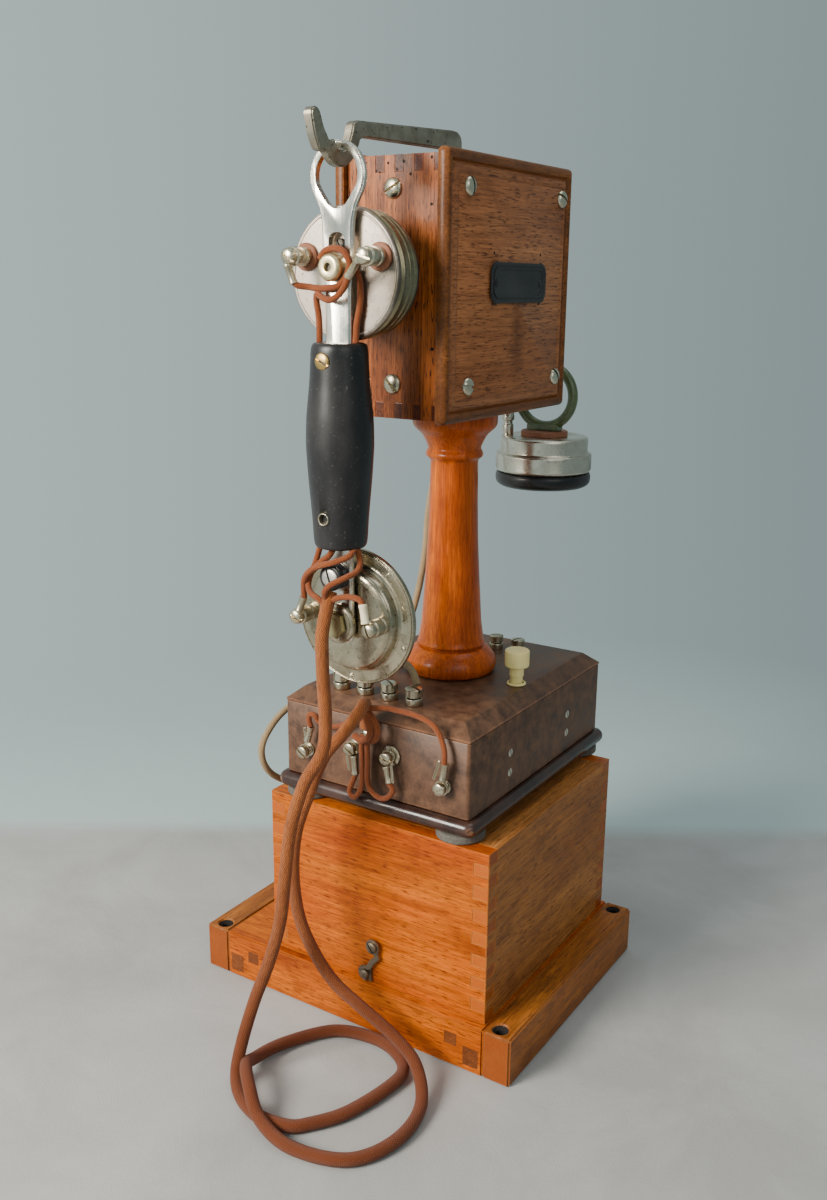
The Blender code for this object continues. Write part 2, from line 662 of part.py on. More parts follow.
def handset_handle():
    """A barrel-shaped grip, bored for the strip that runs through it."""
    tall = HANDLE_TOP - HANDLE_LOW
    profile = [(0, 0), (0.0112, 0), (0.0128, 0.0012), (0.0134, 0.0040), (0.0139, 0.014), (0.0158, 0.036),
               (0.0167, 0.051), (0.0163, 0.064), (0.0146, 0.080), (0.0140, 0.090), (0.0138, tall - 0.0035),
               (0.0130, tall - 0.0010), (0.0115, tall), (0, tall)]
    at = (HANDLE_X, HAND_Y, HANDLE_LOW)
    handle = add("handset_handle", turned_mesh(profile, 20), "ebonite", at)
    front = STRIP_FRONT - GAP - HANDLE_X
    back = front + STRIP_THICK + 2 * GAP
    slot = box_mesh((front, -STRIP_HALF - GAP, -0.01), (back, STRIP_HALF + GAP, tall + 0.01))
    cut(handle, add("handle_slot_cutter", slot, "ebonite", handle.location))


def capsules():
    """The receiver at the top and the transmitter at the bottom, both facing +X."""
    upper = (PLATE_X, HAND_Y, RECEIVER_Z)
    shell = [(0, 0), (0.0302, 0), (0.0310, -0.0008), (0.0310, -0.0030), (0.0300, -0.0036),
             (0.0300, -0.0050), (0.0307, -0.0056), (0.0307, -0.0102), (0.0298, -0.0112),
             (0.0298, -0.0175), (0.0280, -0.0175), (0.0280, -0.0020), (0, -0.0020)]
    turned_x("receiver_case", shell, "nickel", upper, 24)
    cap = [(0.0050, -0.0322), (0.0050, -0.0290), (0.0190, -0.0262), (0.0277, -0.0205),
           (0.0277, -0.0178), (0.0298, -0.0178), (0.0298, -0.0195), (0.0240, -0.0270),
           (0.0180, -0.0335), (0.0120, -0.0330)]
    turned_x("receiver_ear_cap", cap, "ebonite", upper, 24, closed=True)
    disc = [(0, -0.0190), (0.0272, -0.0190), (0.0272, -0.0194), (0, -0.0194)]
    turned_x("receiver_diaphragm", disc, "iron", upper, 24)
    magnet = [(0, -0.0023), (0.0160, -0.0023), (0.0160, -0.0080), (0.0070, -0.0080),
              (0.0070, -0.0180), (0, -0.0180)]
    turned_x("receiver_magnet", magnet, "iron", upper, 16)
    seat = PLATE_X - STRIP_FRONT + GAP
    nut = [(0, seat), (0.0063, seat), (0.0063, 0.0122), (0.0056, 0.0130), (0.0020, 0.0130),
           (0.0016, 0.0120), (0, 0.0120)]
    turned_x("receiver_clamp_nut", nut, "nickel", (PLATE_X, HAND_Y, 0.4200), 16)

    lower = (PLATE_X, HAND_Y, TRANSMITTER_Z)
    shell = [(0, 0), (0.0250, 0), (0.0266, -0.0010), (0.0276, -0.0060), (0.0292, -0.0075),
             (0.0335, -0.0078), (0.0335, -0.0108), (0.0300, -0.0112), (0.0262, -0.0125),
             (0.0262, -0.0180), (0.0245, -0.0180), (0.0245, -0.0020), (0, -0.0020)]
    turned_x("transmitter_case", shell, "nickel", lower, 24)
    horn = [(0.0110, -0.0185), (0.0240, -0.0183), (0.0262, -0.0183), (0.0262, -0.0200),
            (0.0190, -0.0220), (0.0140, -0.0262), (0.0152, -0.0320), (0.0140, -0.0325),
            (0.0118, -0.0270)]
    turned_x("mouthpiece", horn, "ebonite", lower, 24, closed=True)
    button = [(0, -0.0023), (0.0140, -0.0023), (0.0140, -0.0150), (0.0100, -0.0165), (0, -0.0165)]
    turned_x("carbon_capsule", button, "carbon", lower, 18)
    boss = [(0, seat), (0.0104, seat), (0.0104, 0.0080), (0.0088, 0.0084), (0.0088, 0.0105),
            (0.0060, 0.0118), (0, 0.0118)]
    turned_x("transmitter_clamp_nut", boss, "nickel", lower, 18)
    cleat = [(0, seat), (0.0066, seat), (0.0066, 0.0072), (0.0052, 0.0086), (0.0052, 0.0104),
             (0.0066, 0.0118), (0.0066, 0.0130), (0.0040, 0.0138), (0, 0.0138)]
    turned_x("cord_cleat", cleat, "ebonite", (PLATE_X, HAND_Y, 0.2725), 16)


# ------------------------------------------------------------ second receiver

def second_receiver():
    """The extra earpiece, hanging by its ring magnet from a hook in the case's wall."""
    at = (AUX_X, AUX_Y, AUX_TOP)
    shell = [(0, 0), (0.0262, 0), (0.0273, -0.0012), (0.0273, -0.0098), (0.0298, -0.0106),
             (0.0298, -0.0206), (0.0284, -0.0218), (0.0270, -0.0218), (0.0260, -0.0110),
             (0.0258, -0.0020), (0, -0.0020)]
    add("second_receiver_case", turned_mesh(shell, 22), "nickel", at)
    cap = [(0.0050, -0.0285), (0.0050, -0.0262), (0.0240, -0.0240), (0.0268, -0.0222),
           (0.0290, -0.0222), (0.0298, -0.0250), (0.0292, -0.0290), (0.0260, -0.0311),
           (0.0150, -0.0300)]
    add("second_receiver_cap", turned_mesh(cap, 22, closed=True), "ebonite", at)
    disc = [(0, -0.0205), (0.0255, -0.0205), (0.0255, -0.0209), (0, -0.0209)]
    add("second_receiver_diaphragm", turned_mesh(disc, 20), "iron", at)

    middle = AUX_RING_Z - AUX_TOP
    turns = [radians(-90 + 360 * i / 22) for i in range(22)]
    ring = [(0, AUX_RING * cos(t), middle + AUX_RING * sin(t)) for t in turns]
    rod = sweep_mesh(ring, [AUX_RING_ROD] * len(ring), 8, closed=True)
    magnet = add("ring_magnet", rod, "green_magnet", at)
    shoe = box_mesh((-0.0045, -0.0105, GAP), (0.0045, 0.0105, GAP + 0.0070))
    join(magnet, add("ring_magnet_shoe", shoe, "green_magnet", at))

    wall = MID_X + BOX_X + GAP - AUX_X
    route = [(wall, 0, 0.3645), (wall + 0.0015, 0, 0.3645), (wall + 0.0016, 0, 0.3645),
             (-0.0200, 0, 0.3640), (-0.0100, 0, 0.3618), (-0.0035, 0, 0.3601),
             (0.0025, 0, 0.3599), (0.0055, 0, 0.3620), (0.0090, 0, 0.3655),
             (0.0118, 0, 0.3686), (0.0125, 0, 0.3694)]
    radii = [0.0085, 0.0078, 0.0026] + [0.0024] * 6 + [0.0025, 0.0012]
    add("receiver_hook", sweep_mesh(route, radii, 10), "nickel", (AUX_X, AUX_Y, 0))


# ---------------------------------------------------------------------- cords

MAIN_ROUTE = [
    (-0.1086, -0.0122, 0.2656), (-0.1112, -0.0122, 0.2600), (-0.1148, -0.0118, 0.2480),
    (-0.1158, -0.0118, 0.2400), (-0.1160, -0.0124, 0.2215), (-0.1165, -0.0140, 0.2008),
    (-0.1182, -0.0130, 0.1835), (-0.1212, -0.0030, 0.1640), (-0.1252, 0.0030, 0.1387),
    (-0.1292, 0.0042, 0.1115), (-0.1330, 0.0048, 0.0890), (-0.1380, 0.0089, 0.0660),
    (-0.1440, 0.0146, 0.0440), (-0.1510, 0.0178, 0.0222), (-0.1585, 0.0160, 0.0080),
    (-0.1672, 0.0060, 0.0038), (-0.1738, -0.0110, 0.0036), (-0.1712, -0.0290, 0.0036),
    (-0.1635, -0.0375, 0.0036), (-0.1480, -0.0475, 0.0036), (-0.1240, -0.0540, 0.0036),
    (-0.1050, -0.0545, 0.0036), (-0.0935, -0.0430, 0.0036), (-0.0895, -0.0245, 0.0036),
    (-0.0965, -0.0020, 0.0036), (-0.1210, 0.0140, 0.0040), (-0.1430, 0.0175, 0.0062),
    (-0.1565, 0.0108, 0.0135), (-0.1690, -0.0020, 0.0135), (-0.1785, -0.0170, 0.0070),
    (-0.1822, -0.0400, 0.0036), (-0.1735, -0.0680, 0.0036), (-0.1500, -0.0800, 0.0036),
    (-0.1230, -0.0775, 0.0045), (-0.1060, -0.0635, 0.0125), (-0.1020, -0.0460, 0.0215),
    (-0.1045, -0.0270, 0.0330), (-0.1070, -0.0100, 0.0445), (-0.1090, 0.0030, 0.0620),
    (-0.1100, 0.0110, 0.0810), (-0.1100, 0.0140, 0.1058), (-0.1088, 0.0122, 0.1290),
    (-0.1070, 0.0055, 0.1500), (-0.1050, -0.0035, 0.1735), (-0.1000, -0.0135, 0.1885),
    (-0.0925, -0.0180, 0.1985), (-0.0845, -0.0155, 0.2000), (-0.0798, -0.0130, 0.1930),
    (-0.0796, -0.0129, 0.1845),
]

RECEIVER_ROUTE = [
    (0.0925, -0.0010, 0.3375), (0.0920, 0.0030, 0.3420), (0.0890, 0.0130, 0.3410),
    (0.0800, 0.0260, 0.3280), (0.0640, 0.0320, 0.3060), (0.0450, 0.0270, 0.2800),
    (0.0300, 0.0200, 0.2560), (0.0260, 0.0225, 0.2300), (0.0200, 0.0260, 0.2110),
    (0.0020, 0.0255, 0.2000), (-0.0180, 0.0130, 0.1985), (-0.0330, -0.0020, 0.2040),
    (-0.0430, -0.0140, 0.2105), (-0.0490, -0.0230, 0.2085), (-0.0512, -0.0268, 0.2030),
]

BATTERY_ROUTE = [
    (-0.0150, 0.0478, 0.1700), (-0.0152, 0.0540, 0.1700), (-0.0210, 0.0605, 0.1705),
    (-0.0340, 0.0665, 0.1700), (-0.0510, 0.0700, 0.1645), (-0.0640, 0.0715, 0.1530),
    (-0.0660, 0.0715, 0.1420), (-0.0590, 0.0710, 0.1300), (-0.0430, 0.0700, 0.1190),
    (-0.0230, 0.0670, 0.1120), (-0.0085, 0.0668, 0.1096), (-0.0042, 0.0640, 0.1090),
    (-0.0040, 0.0576, 0.1090),
]


def cord(name, route, diameter, slot):
    curve = bpy.data.curves.new(name, "CURVE")
    curve.dimensions = "3D"
    curve.bevel_depth = diameter / 2
    curve.bevel_resolution = 2
    curve.use_fill_caps = True
    points = evenly(smooth_line(route, 12), 2.6 * diameter)
    spline = curve.splines.new("POLY")
    spline.points.add(len(points) - 1)
    for target, point in zip(spline.points, points):
        target.co = (*point, 1.0)
    curve.materials.append(material(slot))
    bpy.context.scene.collection.objects.link(bpy.data.objects.new(name, curve))


def cords():
    cord("main_cord", MAIN_ROUTE, MAIN_CORD, "brown_braid")
    cord("receiver_cord", RECEIVER_ROUTE, THIN_CORD, "beige_braid")
    cord("battery_cord", BATTERY_ROUTE, THIN_CORD, "beige_braid")


def build():
    clear_scene()
    plinth()
    battery_cover()
    battery_cells()
    latch()
    feet()
    base_board()
    base_case()
    base_deck()
    induction_coil()
    call_button()
    line_terminals()
    deck_terminals()
    column()
    case_frame()
    case_panels()
    switch_lever()
    lever_bracket()
    switch_contacts()
    handset_strip()
    handset_handle()
    capsules()
    second_receiver()
    cords()


build()
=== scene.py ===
"""The looks of a column desk telephone on its battery box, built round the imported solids.

Metres, +Z up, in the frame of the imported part: the origin is under the plinth, the front
panel faces -Y, and the handset hangs on the -X side.
"""

from math import cos, pi, radians, sin

import bmesh
import bpy
from mathutils import Matrix, Vector


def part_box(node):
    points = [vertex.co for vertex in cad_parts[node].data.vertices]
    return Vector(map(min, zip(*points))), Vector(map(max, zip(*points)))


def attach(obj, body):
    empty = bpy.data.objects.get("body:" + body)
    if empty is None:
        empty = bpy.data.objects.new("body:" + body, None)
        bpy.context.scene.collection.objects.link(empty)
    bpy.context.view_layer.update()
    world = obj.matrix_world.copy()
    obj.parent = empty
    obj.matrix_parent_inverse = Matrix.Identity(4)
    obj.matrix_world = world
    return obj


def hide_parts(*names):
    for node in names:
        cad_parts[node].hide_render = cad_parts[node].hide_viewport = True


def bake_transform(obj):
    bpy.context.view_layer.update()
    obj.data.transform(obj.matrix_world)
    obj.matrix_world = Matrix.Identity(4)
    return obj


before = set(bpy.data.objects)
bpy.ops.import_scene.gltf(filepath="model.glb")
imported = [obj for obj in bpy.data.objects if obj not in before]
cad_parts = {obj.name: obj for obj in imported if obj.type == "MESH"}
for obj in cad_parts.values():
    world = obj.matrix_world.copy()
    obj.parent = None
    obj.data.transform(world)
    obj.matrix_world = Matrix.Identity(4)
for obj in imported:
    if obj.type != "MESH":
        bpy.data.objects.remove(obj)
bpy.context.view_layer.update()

X, Y, Z = Vector((1, 0, 0)), Vector((0, 1, 0)), Vector((0, 0, 1))

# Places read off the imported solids
CASE_LOW, CASE_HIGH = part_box("case_frame")
FRONT_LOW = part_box("front_panel")[0]
COLUMN_LOW, COLUMN_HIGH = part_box("column")
BASE_LOW, BASE_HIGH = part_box("base_case")
DECK_LOW, DECK_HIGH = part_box("base_deck")
BOARD_LOW, BOARD_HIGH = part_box("base_board")
COVER_LOW, COVER_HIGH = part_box("battery_cover")
PLINTH_LOW, PLINTH_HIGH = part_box("plinth")
HANDLE_LOW, HANDLE_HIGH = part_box("handset_handle")
STRIP_LOW, STRIP_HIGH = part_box("handset_strip")
MIDDLE = (COLUMN_LOW + COLUMN_HIGH) / 2        # x and y of the column's axis
HAND_Y = (STRIP_LOW.y + STRIP_HIGH.y) / 2      # the plane of the hook and the handset

# Two ways along the floor: away from the camera, and across its view from right to left
AWAY, ACROSS = (.8415, .5403, 0.0), (-.5403, .8415, 0.0)

# Heights on the handset and a place on the front panel
NUT_Z, POST_Z, CLEAT_Z, EYELET_Z = .42, .425, .2725, .3028
KNOT = (.014, 0, .388)

# The cloth's radius, and the distances from the middle between which it fades out
FLOOR_RADIUS = .8
FADE = (.26, .75)


# -------------------------------------------------------- scene and camera

def put(name, data):
    """A new object, linked into the scene."""
    thing = bpy.data.objects.new(name, data)
    bpy.context.scene.collection.objects.link(thing)
    return thing


def make_camera():
    data = bpy.data.cameras.new("camera")
    data.lens = 34.79
    data.sensor_width = 36
    data.sensor_fit = "AUTO"
    camera = put("camera", data)
    yaw, pitch, roll = 1.00018, .26578, .00935
    ahead = Vector((sin(yaw) * cos(pitch), cos(yaw) * cos(pitch), -sin(pitch)))
    right = Vector((cos(yaw), -sin(yaw), 0))
    up = right.cross(ahead)
    right, up = cos(roll) * right + sin(roll) * up, cos(roll) * up - sin(roll) * right
    facing = Matrix((right, up, -ahead)).transposed().to_4x4()
    camera.matrix_world = Matrix.Translation((-.55368, -.34662, .41283)) @ facing
    bpy.context.scene.camera = camera


# ------------------------------------------------------------ shape helpers

def merge(bm, part, matrix=None):
    """Adds the shape part to bm and frees it."""
    if matrix:
        bmesh.ops.transform(part, matrix=matrix, verts=part.verts)
    bmesh.ops.recalc_face_normals(part, faces=part.faces)
    mesh = bpy.data.meshes.new("part")
    part.to_mesh(mesh)
    part.free()
    bm.from_mesh(mesh)
    bpy.data.meshes.remove(mesh)


def along(axis, at):
    """The matrix that turns +Z to the axis and moves the origin to the point at."""
    turn = Vector(axis).to_track_quat("Z", "Y").to_matrix().to_4x4()
    return Matrix.Translation(at) @ turn


def softened(points, radius, closed=False, steps=2):
    """Rounds the corners of an outline or a profile."""
    points = [Vector(p) for p in points]
    count = len(points)
    made = []
    for i, point in enumerate(points):
        if not closed and i in (0, count - 1):
            made.append(point)
            continue
        before, after = points[i - 1], points[(i + 1) % count]
        reach_in = min(radius, .45 * (point - before).length)
        reach_out = min(radius, .45 * (after - point).length)
        first = point.lerp(before, reach_in / max((point - before).length, 1e-9))
        last = point.lerp(after, reach_out / max((after - point).length, 1e-9))
        for k in range(steps + 1):
            t = k / steps
            made.append(first * (1 - t) ** 2 + point * 2 * t * (1 - t) + last * t ** 2)
    return made


def smooth_line(points, steps):
    """A Catmull-Rom curve through the points, with steps points on each span."""
    points = [Vector(p) for p in points]
    padded = [2 * points[0] - points[1], *points, 2 * points[-1] - points[-2]]
    made = []
    for i in range(len(points) - 1):
        a, b, c, d = padded[i:i + 4]
        for k in range(steps):
            t = k / steps
            made.append(.5 * (2 * b + (c - a) * t + (2 * a - 5 * b + 4 * c - d) * t ** 2
                + (3 * b - a - 3 * c + d) * t ** 3))
    return made + [points[-1]]


def arc(centre, radius, start, end, steps):
    """Points along an arc, from one angle to another, in degrees."""
    turns = [radians(start + (end - start) * i / steps) for i in range(steps + 1)]
    return [(centre[0] + radius * cos(t), centre[1] + radius * sin(t)) for t in turns]


def rounded_rectangle(half_a, half_b, radius, steps=6, centre=(0, 0)):
    points = []
    for a, b, start in ((1, 1, 0), (-1, 1, 90), (-1, -1, 180), (1, -1, 270)):
        middle = (centre[0] + a * (half_a - radius), centre[1] + b * (half_b - radius))
        points += arc(middle, radius, start, start + 90, steps)
    return points


def bridge(bm, rings, closed=False, caps=True):
    """Faces between rings of points; with caps, the first and last ring become faces too."""
    made = [[bm.verts.new(p) for p in ring] for ring in rings]
    pairs = list(zip(made, made[1:]))
    if closed:
        pairs.append((made[-1], made[0]))
    for a, b in pairs:
        count = max(len(a), len(b))
        for i in range(count):
            j = (i + 1) % count
            corners = [a[i % len(a)], a[j % len(a)], b[j % len(b)], b[i % len(b)]]
            bm.faces.new(list(dict.fromkeys(corners)))
    if caps and not closed:
        for ring in (made[0], made[-1]):
            if len(ring) > 2:
                bm.faces.new(ring)


def rod(radius, low, high, bore=0):
    """The profile of a plain rod, or of a pipe round a bore."""
    return [(bore, low), (radius, low), (radius, high), (bore, high)]


def turned(bm, profile, at, axis=Z, segments=64, closed=False, soft=0.0, knurl=None):
    """Turns (radius, height) points round an axis. Knurl is the low and high height of a
    band of fine ribs, and their depth."""
    if soft:
        profile = softened(profile, soft, closed)
    part = bmesh.new()
    rings = []
    for radius, height in profile:
        if radius < 1e-6:
            rings.append([Vector((0, 0, height))])
            continue
        ring = []
        for i in range(segments):
            turn = 2 * pi * i / segments
            depth = knurl[2] * (i % 2) if knurl and knurl[0] < height < knurl[1] else 0
            reach = radius - depth
            ring.append(Vector((reach * cos(turn), reach * sin(turn), height)))
        rings.append(ring)
    bridge(part, rings, closed, caps=False)
    merge(bm, part, along(axis, at))


def block(bm, low, high, bevel=.0006, segments=2):
    """A box with rounded edges."""
    part = bmesh.new()
    size = Vector(high) - Vector(low)
    place = Matrix.Translation((Vector(low) + Vector(high)) / 2) @ Matrix.Diagonal((*size, 1))
    bmesh.ops.create_cube(part, size=1, matrix=place)
    if bevel:
        bmesh.ops.bevel(part, geom=part.edges[:], offset=bevel, segments=segments, affect="EDGES")
    merge(bm, part)


PLANES = {"yz": lambda a, b, h: Vector((h, a, b)), "xz": lambda a, b, h: Vector((a, h, b)),
    "xy": lambda a, b, h: Vector((a, b, h))}


def slab(bm, outline, plane, low, high, bevel=.0004, segments=2):
    """Extrudes an outline: plane "yz" along X, "xz" along Y, "xy" along Z."""
    part = bmesh.new()
    place = PLANES[plane]
    face = part.faces.new([part.verts.new(place(a, b, low)) for a, b in outline])
    grown = bmesh.ops.extrude_face_region(part, geom=[face])
    shift = place(0, 0, high - low)
    moved = [v for v in grown["geom"] if isinstance(v, bmesh.types.BMVert)]
    bmesh.ops.translate(part, verts=moved, vec=shift)
    if bevel:
        ends = [e for e in part.edges if abs((e.verts[0].co - e.verts[1].co).dot(shift)) < 1e-12]
        bmesh.ops.bevel(part, geom=ends, offset=bevel, segments=segments, affect="EDGES")
    merge(bm, part)


def tube(bm, points, radius, sides=12, taper=0.0):
    """A round cord through the points, with a flat cap at each end. Its UV map runs once round the
    cord, and along it in metres."""
    points = [Vector(p) for p in points]
    part = bmesh.new()
    layer = part.loops.layers.uv.new("UVMap")
    side = None
    rings, lengths, walked = [], [], 0.0
    last = len(points) - 1
    for i, point in enumerate(points):
        tangent = (points[min(i + 1, last)] - points[max(i - 1, 0)]).normalized()
        if side is None:
            side = tangent.orthogonal().normalized()
        side = (side - tangent * side.dot(tangent)).normalized()
        other = tangent.cross(side)
        if i:
            walked += (point - points[i - 1]).length
        reach = radius * (1 - taper * i / last)
        ring = []
        for k in range(sides):
            turn = 2 * pi * k / sides
            ring.append(part.verts.new(point + reach * (side * cos(turn) + other * sin(turn))))
        rings.append(ring)
        lengths.append(walked)
    for i in range(last):
        for k in range(sides):
            j = (k + 1) % sides
            face = part.faces.new((rings[i][k], rings[i][j], rings[i + 1][j], rings[i + 1][k]))
            spots = ((k, i), (k + 1, i), (k + 1, i + 1), (k, i + 1))
            for loop, (u, v) in zip(face.loops, spots):
                loop[layer].uv = (u / sides, lengths[v])
    part.faces.new(rings[0])
    part.faces.new(rings[-1])
    merge(bm, part)


def screw(bm, at, axis, radius, height, slot_turn=30, dome=.5, shank=.001):
    """A slotted screw head: two halves of a domed disc on either side of the slot."""
    place = along(axis, at) @ Matrix.Rotation(radians(slot_turn), 4, "Z")
    half_slot = .13 * radius
    rim = height * (1 - dome)
    top = [(radius * cos(radians(t)), rim + (height - rim) * sin(radians(t)))
        for t in (0, 15, 30, 50, 70, 90)]
    profile = [(0, -shank), (radius, -shank), *top[:-1], (0, height)]
    for sign in (-1, 1):
        part = bmesh.new()
        turned(part, profile, (0, 0, 0), segments=32)
        geometry = part.verts[:] + part.edges[:] + part.faces[:]
        cut = bmesh.ops.bisect_plane(part, geom=geometry, plane_co=(sign * half_slot, 0, 0),
            plane_no=(-sign, 0, 0), clear_outer=True)
        rim_edges = [e for e in cut["geom_cut"] if isinstance(e, bmesh.types.BMEdge)]
        bmesh.ops.holes_fill(part, edges=rim_edges)
        merge(bm, part, place)
    floor = rim * .45
    turned(bm, rod(radius * .97, -shank, floor), at, axis, 32)


# Every material, by its name
PAINTS = {}


def make(name, bm, paint, body="root", stands_for=(), sharp=38):
    """Turns a bmesh, in the frame's own coordinates, into a piece that rides on a body.
    Paint is a key of PAINTS."""
    mesh = bpy.data.meshes.new(name)
    bm.to_mesh(mesh)
    bm.free()
    mesh.shade_smooth()
    mesh.set_sharp_from_angle(angle=radians(sharp))
    mesh.materials.append(PAINTS[paint])
    piece = put(name, mesh)
    if body:
        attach(piece, body)
    if stands_for:
        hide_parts(*stands_for)
    return piece


def drawn(draw, *shape, **more):
    """A new bmesh that holds one shape."""
    bm = bmesh.new()
    draw(bm, *shape, **more)
    return bm


def skin(rings, closed=False):
    """A new bmesh that holds the skin over some rings."""
    bm = bmesh.new()
    merge(bm, drawn(bridge, rings, closed))
    return bm


def carve(piece, cutter):
    """Cuts the shape of one bmesh out of a piece."""
    mesh = bpy.data.meshes.new("cutter")
    cutter.to_mesh(mesh)
    cutter.free()
    tool = put("cutter", mesh)
    modifier = piece.modifiers.new("cut", "BOOLEAN")
    modifier.operation = "DIFFERENCE"
    modifier.solver = "EXACT"
    modifier.object = tool
    graph = bpy.context.evaluated_depsgraph_get()
    made = bpy.data.meshes.new_from_object(piece.evaluated_get(graph))
    piece.modifiers.clear()
    piece.data = made
    bpy.data.objects.remove(tool)


# --------------------------------------------------------------- materials

class Paint:
    """A procedural material. Each helper adds one node and returns its output."""

    def __init__(self, name):
        self.material = PAINTS[name] = bpy.data.materials.new(name)
        self.material.use_nodes = True
        self.tree = self.material.node_tree
        self.shader = self.tree.nodes["Principled BSDF"]

    def feed(self, socket, value):
        if isinstance(value, bpy.types.NodeSocket):
            self.tree.links.new(value, socket)
        else:
            socket.default_value = value

    def node(self, kind, inputs, out=0, **settings):
        made = self.tree.nodes.new("ShaderNode" + kind)
        for key, value in settings.items():
            setattr(made, key, value)
        for key, value in inputs.items():
            self.feed(made.inputs[key], value)
        return made.outputs[out]

    def place(self, scale, source="Object"):
        scale = scale if isinstance(scale, (list, tuple)) else (scale,) * 3
        where = self.node("TexCoord", {}, source)
        return self.node("Mapping", {"Vector": where, "Scale": scale})

    def noise(self, where, detail=3.0, rough=.5, twist=0.0):
        return self.node("TexNoise", {"Vector": where, "Scale": 1.0, "Detail": detail,
            "Roughness": rough, "Distortion": twist})

    def span(self, value, low, high, bottom=0.0, top=1.0):
        return self.node("MapRange", {"Value": value, "From Min": low, "From Max": high,
            "To Min": bottom, "To Max": top})

    def mix(self, factor, a, b, blend="MIX"):
        a, b = (tone(*c) if isinstance(c, tuple) else c for c in (a, b))
        return self.node("Mix", {0: factor, 6: a, 7: b}, 2, data_type="RGBA", blend_type=blend)

    def math(self, kind, a, b=0.0):
        return self.node("Math", {0: a, 1: b}, operation=kind)

    def bump(self, height, distance, strength=1.0, after=None):
        inputs = {"Height": height, "Distance": distance, "Strength": strength}
        if after is not None:
            inputs["Normal"] = after
        return self.node("Bump", inputs)

    def edges(self, radius, low=.80, high=.985):
        """One on an edge of the shape, nought away from it."""
        rounded = self.node("Bevel", {"Radius": radius}, samples=4)
        flat = self.node("NewGeometry", {}, "Normal")
        same = self.node("VectorMath", {0: rounded, 1: flat}, "Value", operation="DOT_PRODUCT")
        return self.span(same, low, high, 1.0, 0.0)

    def finish(self, color, rough, metal=0.0, normal=None, coat=0.0, coat_rough=.12, specular=.5):
        values = {"Base Color": color, "Roughness": rough, "Metallic": metal, "Coat Weight": coat,
            "Coat Roughness": coat_rough, "Specular IOR Level": specular}
        if normal is not None:
            values["Normal"] = normal
        for key, value in values.items():
            self.feed(self.shader.inputs[key], value)


def tone(red, green, blue):
    """A colour given as it looks on a screen, 0 to 255, in the linear values of a shader."""
    parts = [c / 255 for c in (red, green, blue)]
    return (*[c / 12.92 if c < .04045 else ((c + .055) / 1.055) ** 2.4 for c in parts], 1.0)


def wood(name, dark, middle, light, grain, rough=.36, coat=.35, pores=.6, dirt=.5, worn=None,
        seed=0.0, figure=.35, ends=(.6, None), knot=None):
    """Varnished wood whose fibres run along X, Y or Z, the axis numbered grain. Figure is
    the strength of its growth bands; ends is the strength and the colour of end grain;
    knot is the place of a dark flame in the grain."""
    p = Paint(name)

    def stretched(across, lengthwise):
        scale = [across] * 3
        scale[grain] = lengthwise
        where = p.node("TexCoord", {}, "Object")
        return p.node("Mapping", {"Vector": where, "Scale": scale, "Location": (seed,) * 3})

    broad = p.noise(stretched(22, 5), detail=5, rough=.55, twist=.6)
    bands = p.noise(stretched(150, 6.5), detail=5, rough=.6, twist=.5)
    fibre = p.noise(stretched(900, 42), detail=4, rough=.65)
    pore = p.span(p.noise(stretched(1400, 150), detail=2), .57, .66)
    stain = p.noise(stretched(30, 18), detail=6, rough=.66)
    color = p.mix(p.span(broad, .36, .64), middle, light)
    if knot:
        away = p.node("VectorMath", {0: p.place(1), 1: knot}, operation="SUBTRACT")
        away = p.node("Mapping", {"Vector": away, "Scale": (150, 0, 42)})
        reach = p.node("VectorMath", {0: away}, "Value", operation="LENGTH")
        ragged = p.noise(stretched(120, 60), detail=4)
        reach = p.math("ADD", reach, p.math("MULTIPLY", ragged, 1.6))
        color = p.mix(p.span(reach, .9, 2.2, .55, 0.0), color, dark)
    color = p.mix(p.span(bands, .42, .68, figure, 0.0), color, dark)
    color = p.mix(p.span(fibre, .36, .62, .5, 0.0), color, dark)
    color = p.mix(p.math("MULTIPLY", pore, pores), color, dark)
    color = p.mix(p.span(stain, .54, .72, 0.0, dirt), color, dark)
    normal_parts = p.node("SeparateXYZ", {0: p.node("TexCoord", {}, "Normal")}, grain)
    end_grain = p.span(p.math("ABSOLUTE", normal_parts), .80, .92)
    color = p.mix(p.math("MULTIPLY", end_grain, ends[0]), color, ends[1] or dark)
    if worn:
        scuffed = p.math("MULTIPLY", p.edges(.0012), p.span(stain, .35, .6, .25, .9))
        color = p.mix(scuffed, color, worn)
    gloss = p.span(fibre, .3, .7, rough - .06, rough + .12)
    height = p.math("SUBTRACT", p.math("MULTIPLY", fibre, .5), pore)
    normal = p.bump(height, .0001, .5)
    p.finish(color, gloss, normal=normal, coat=coat, coat_rough=.2, specular=.22)


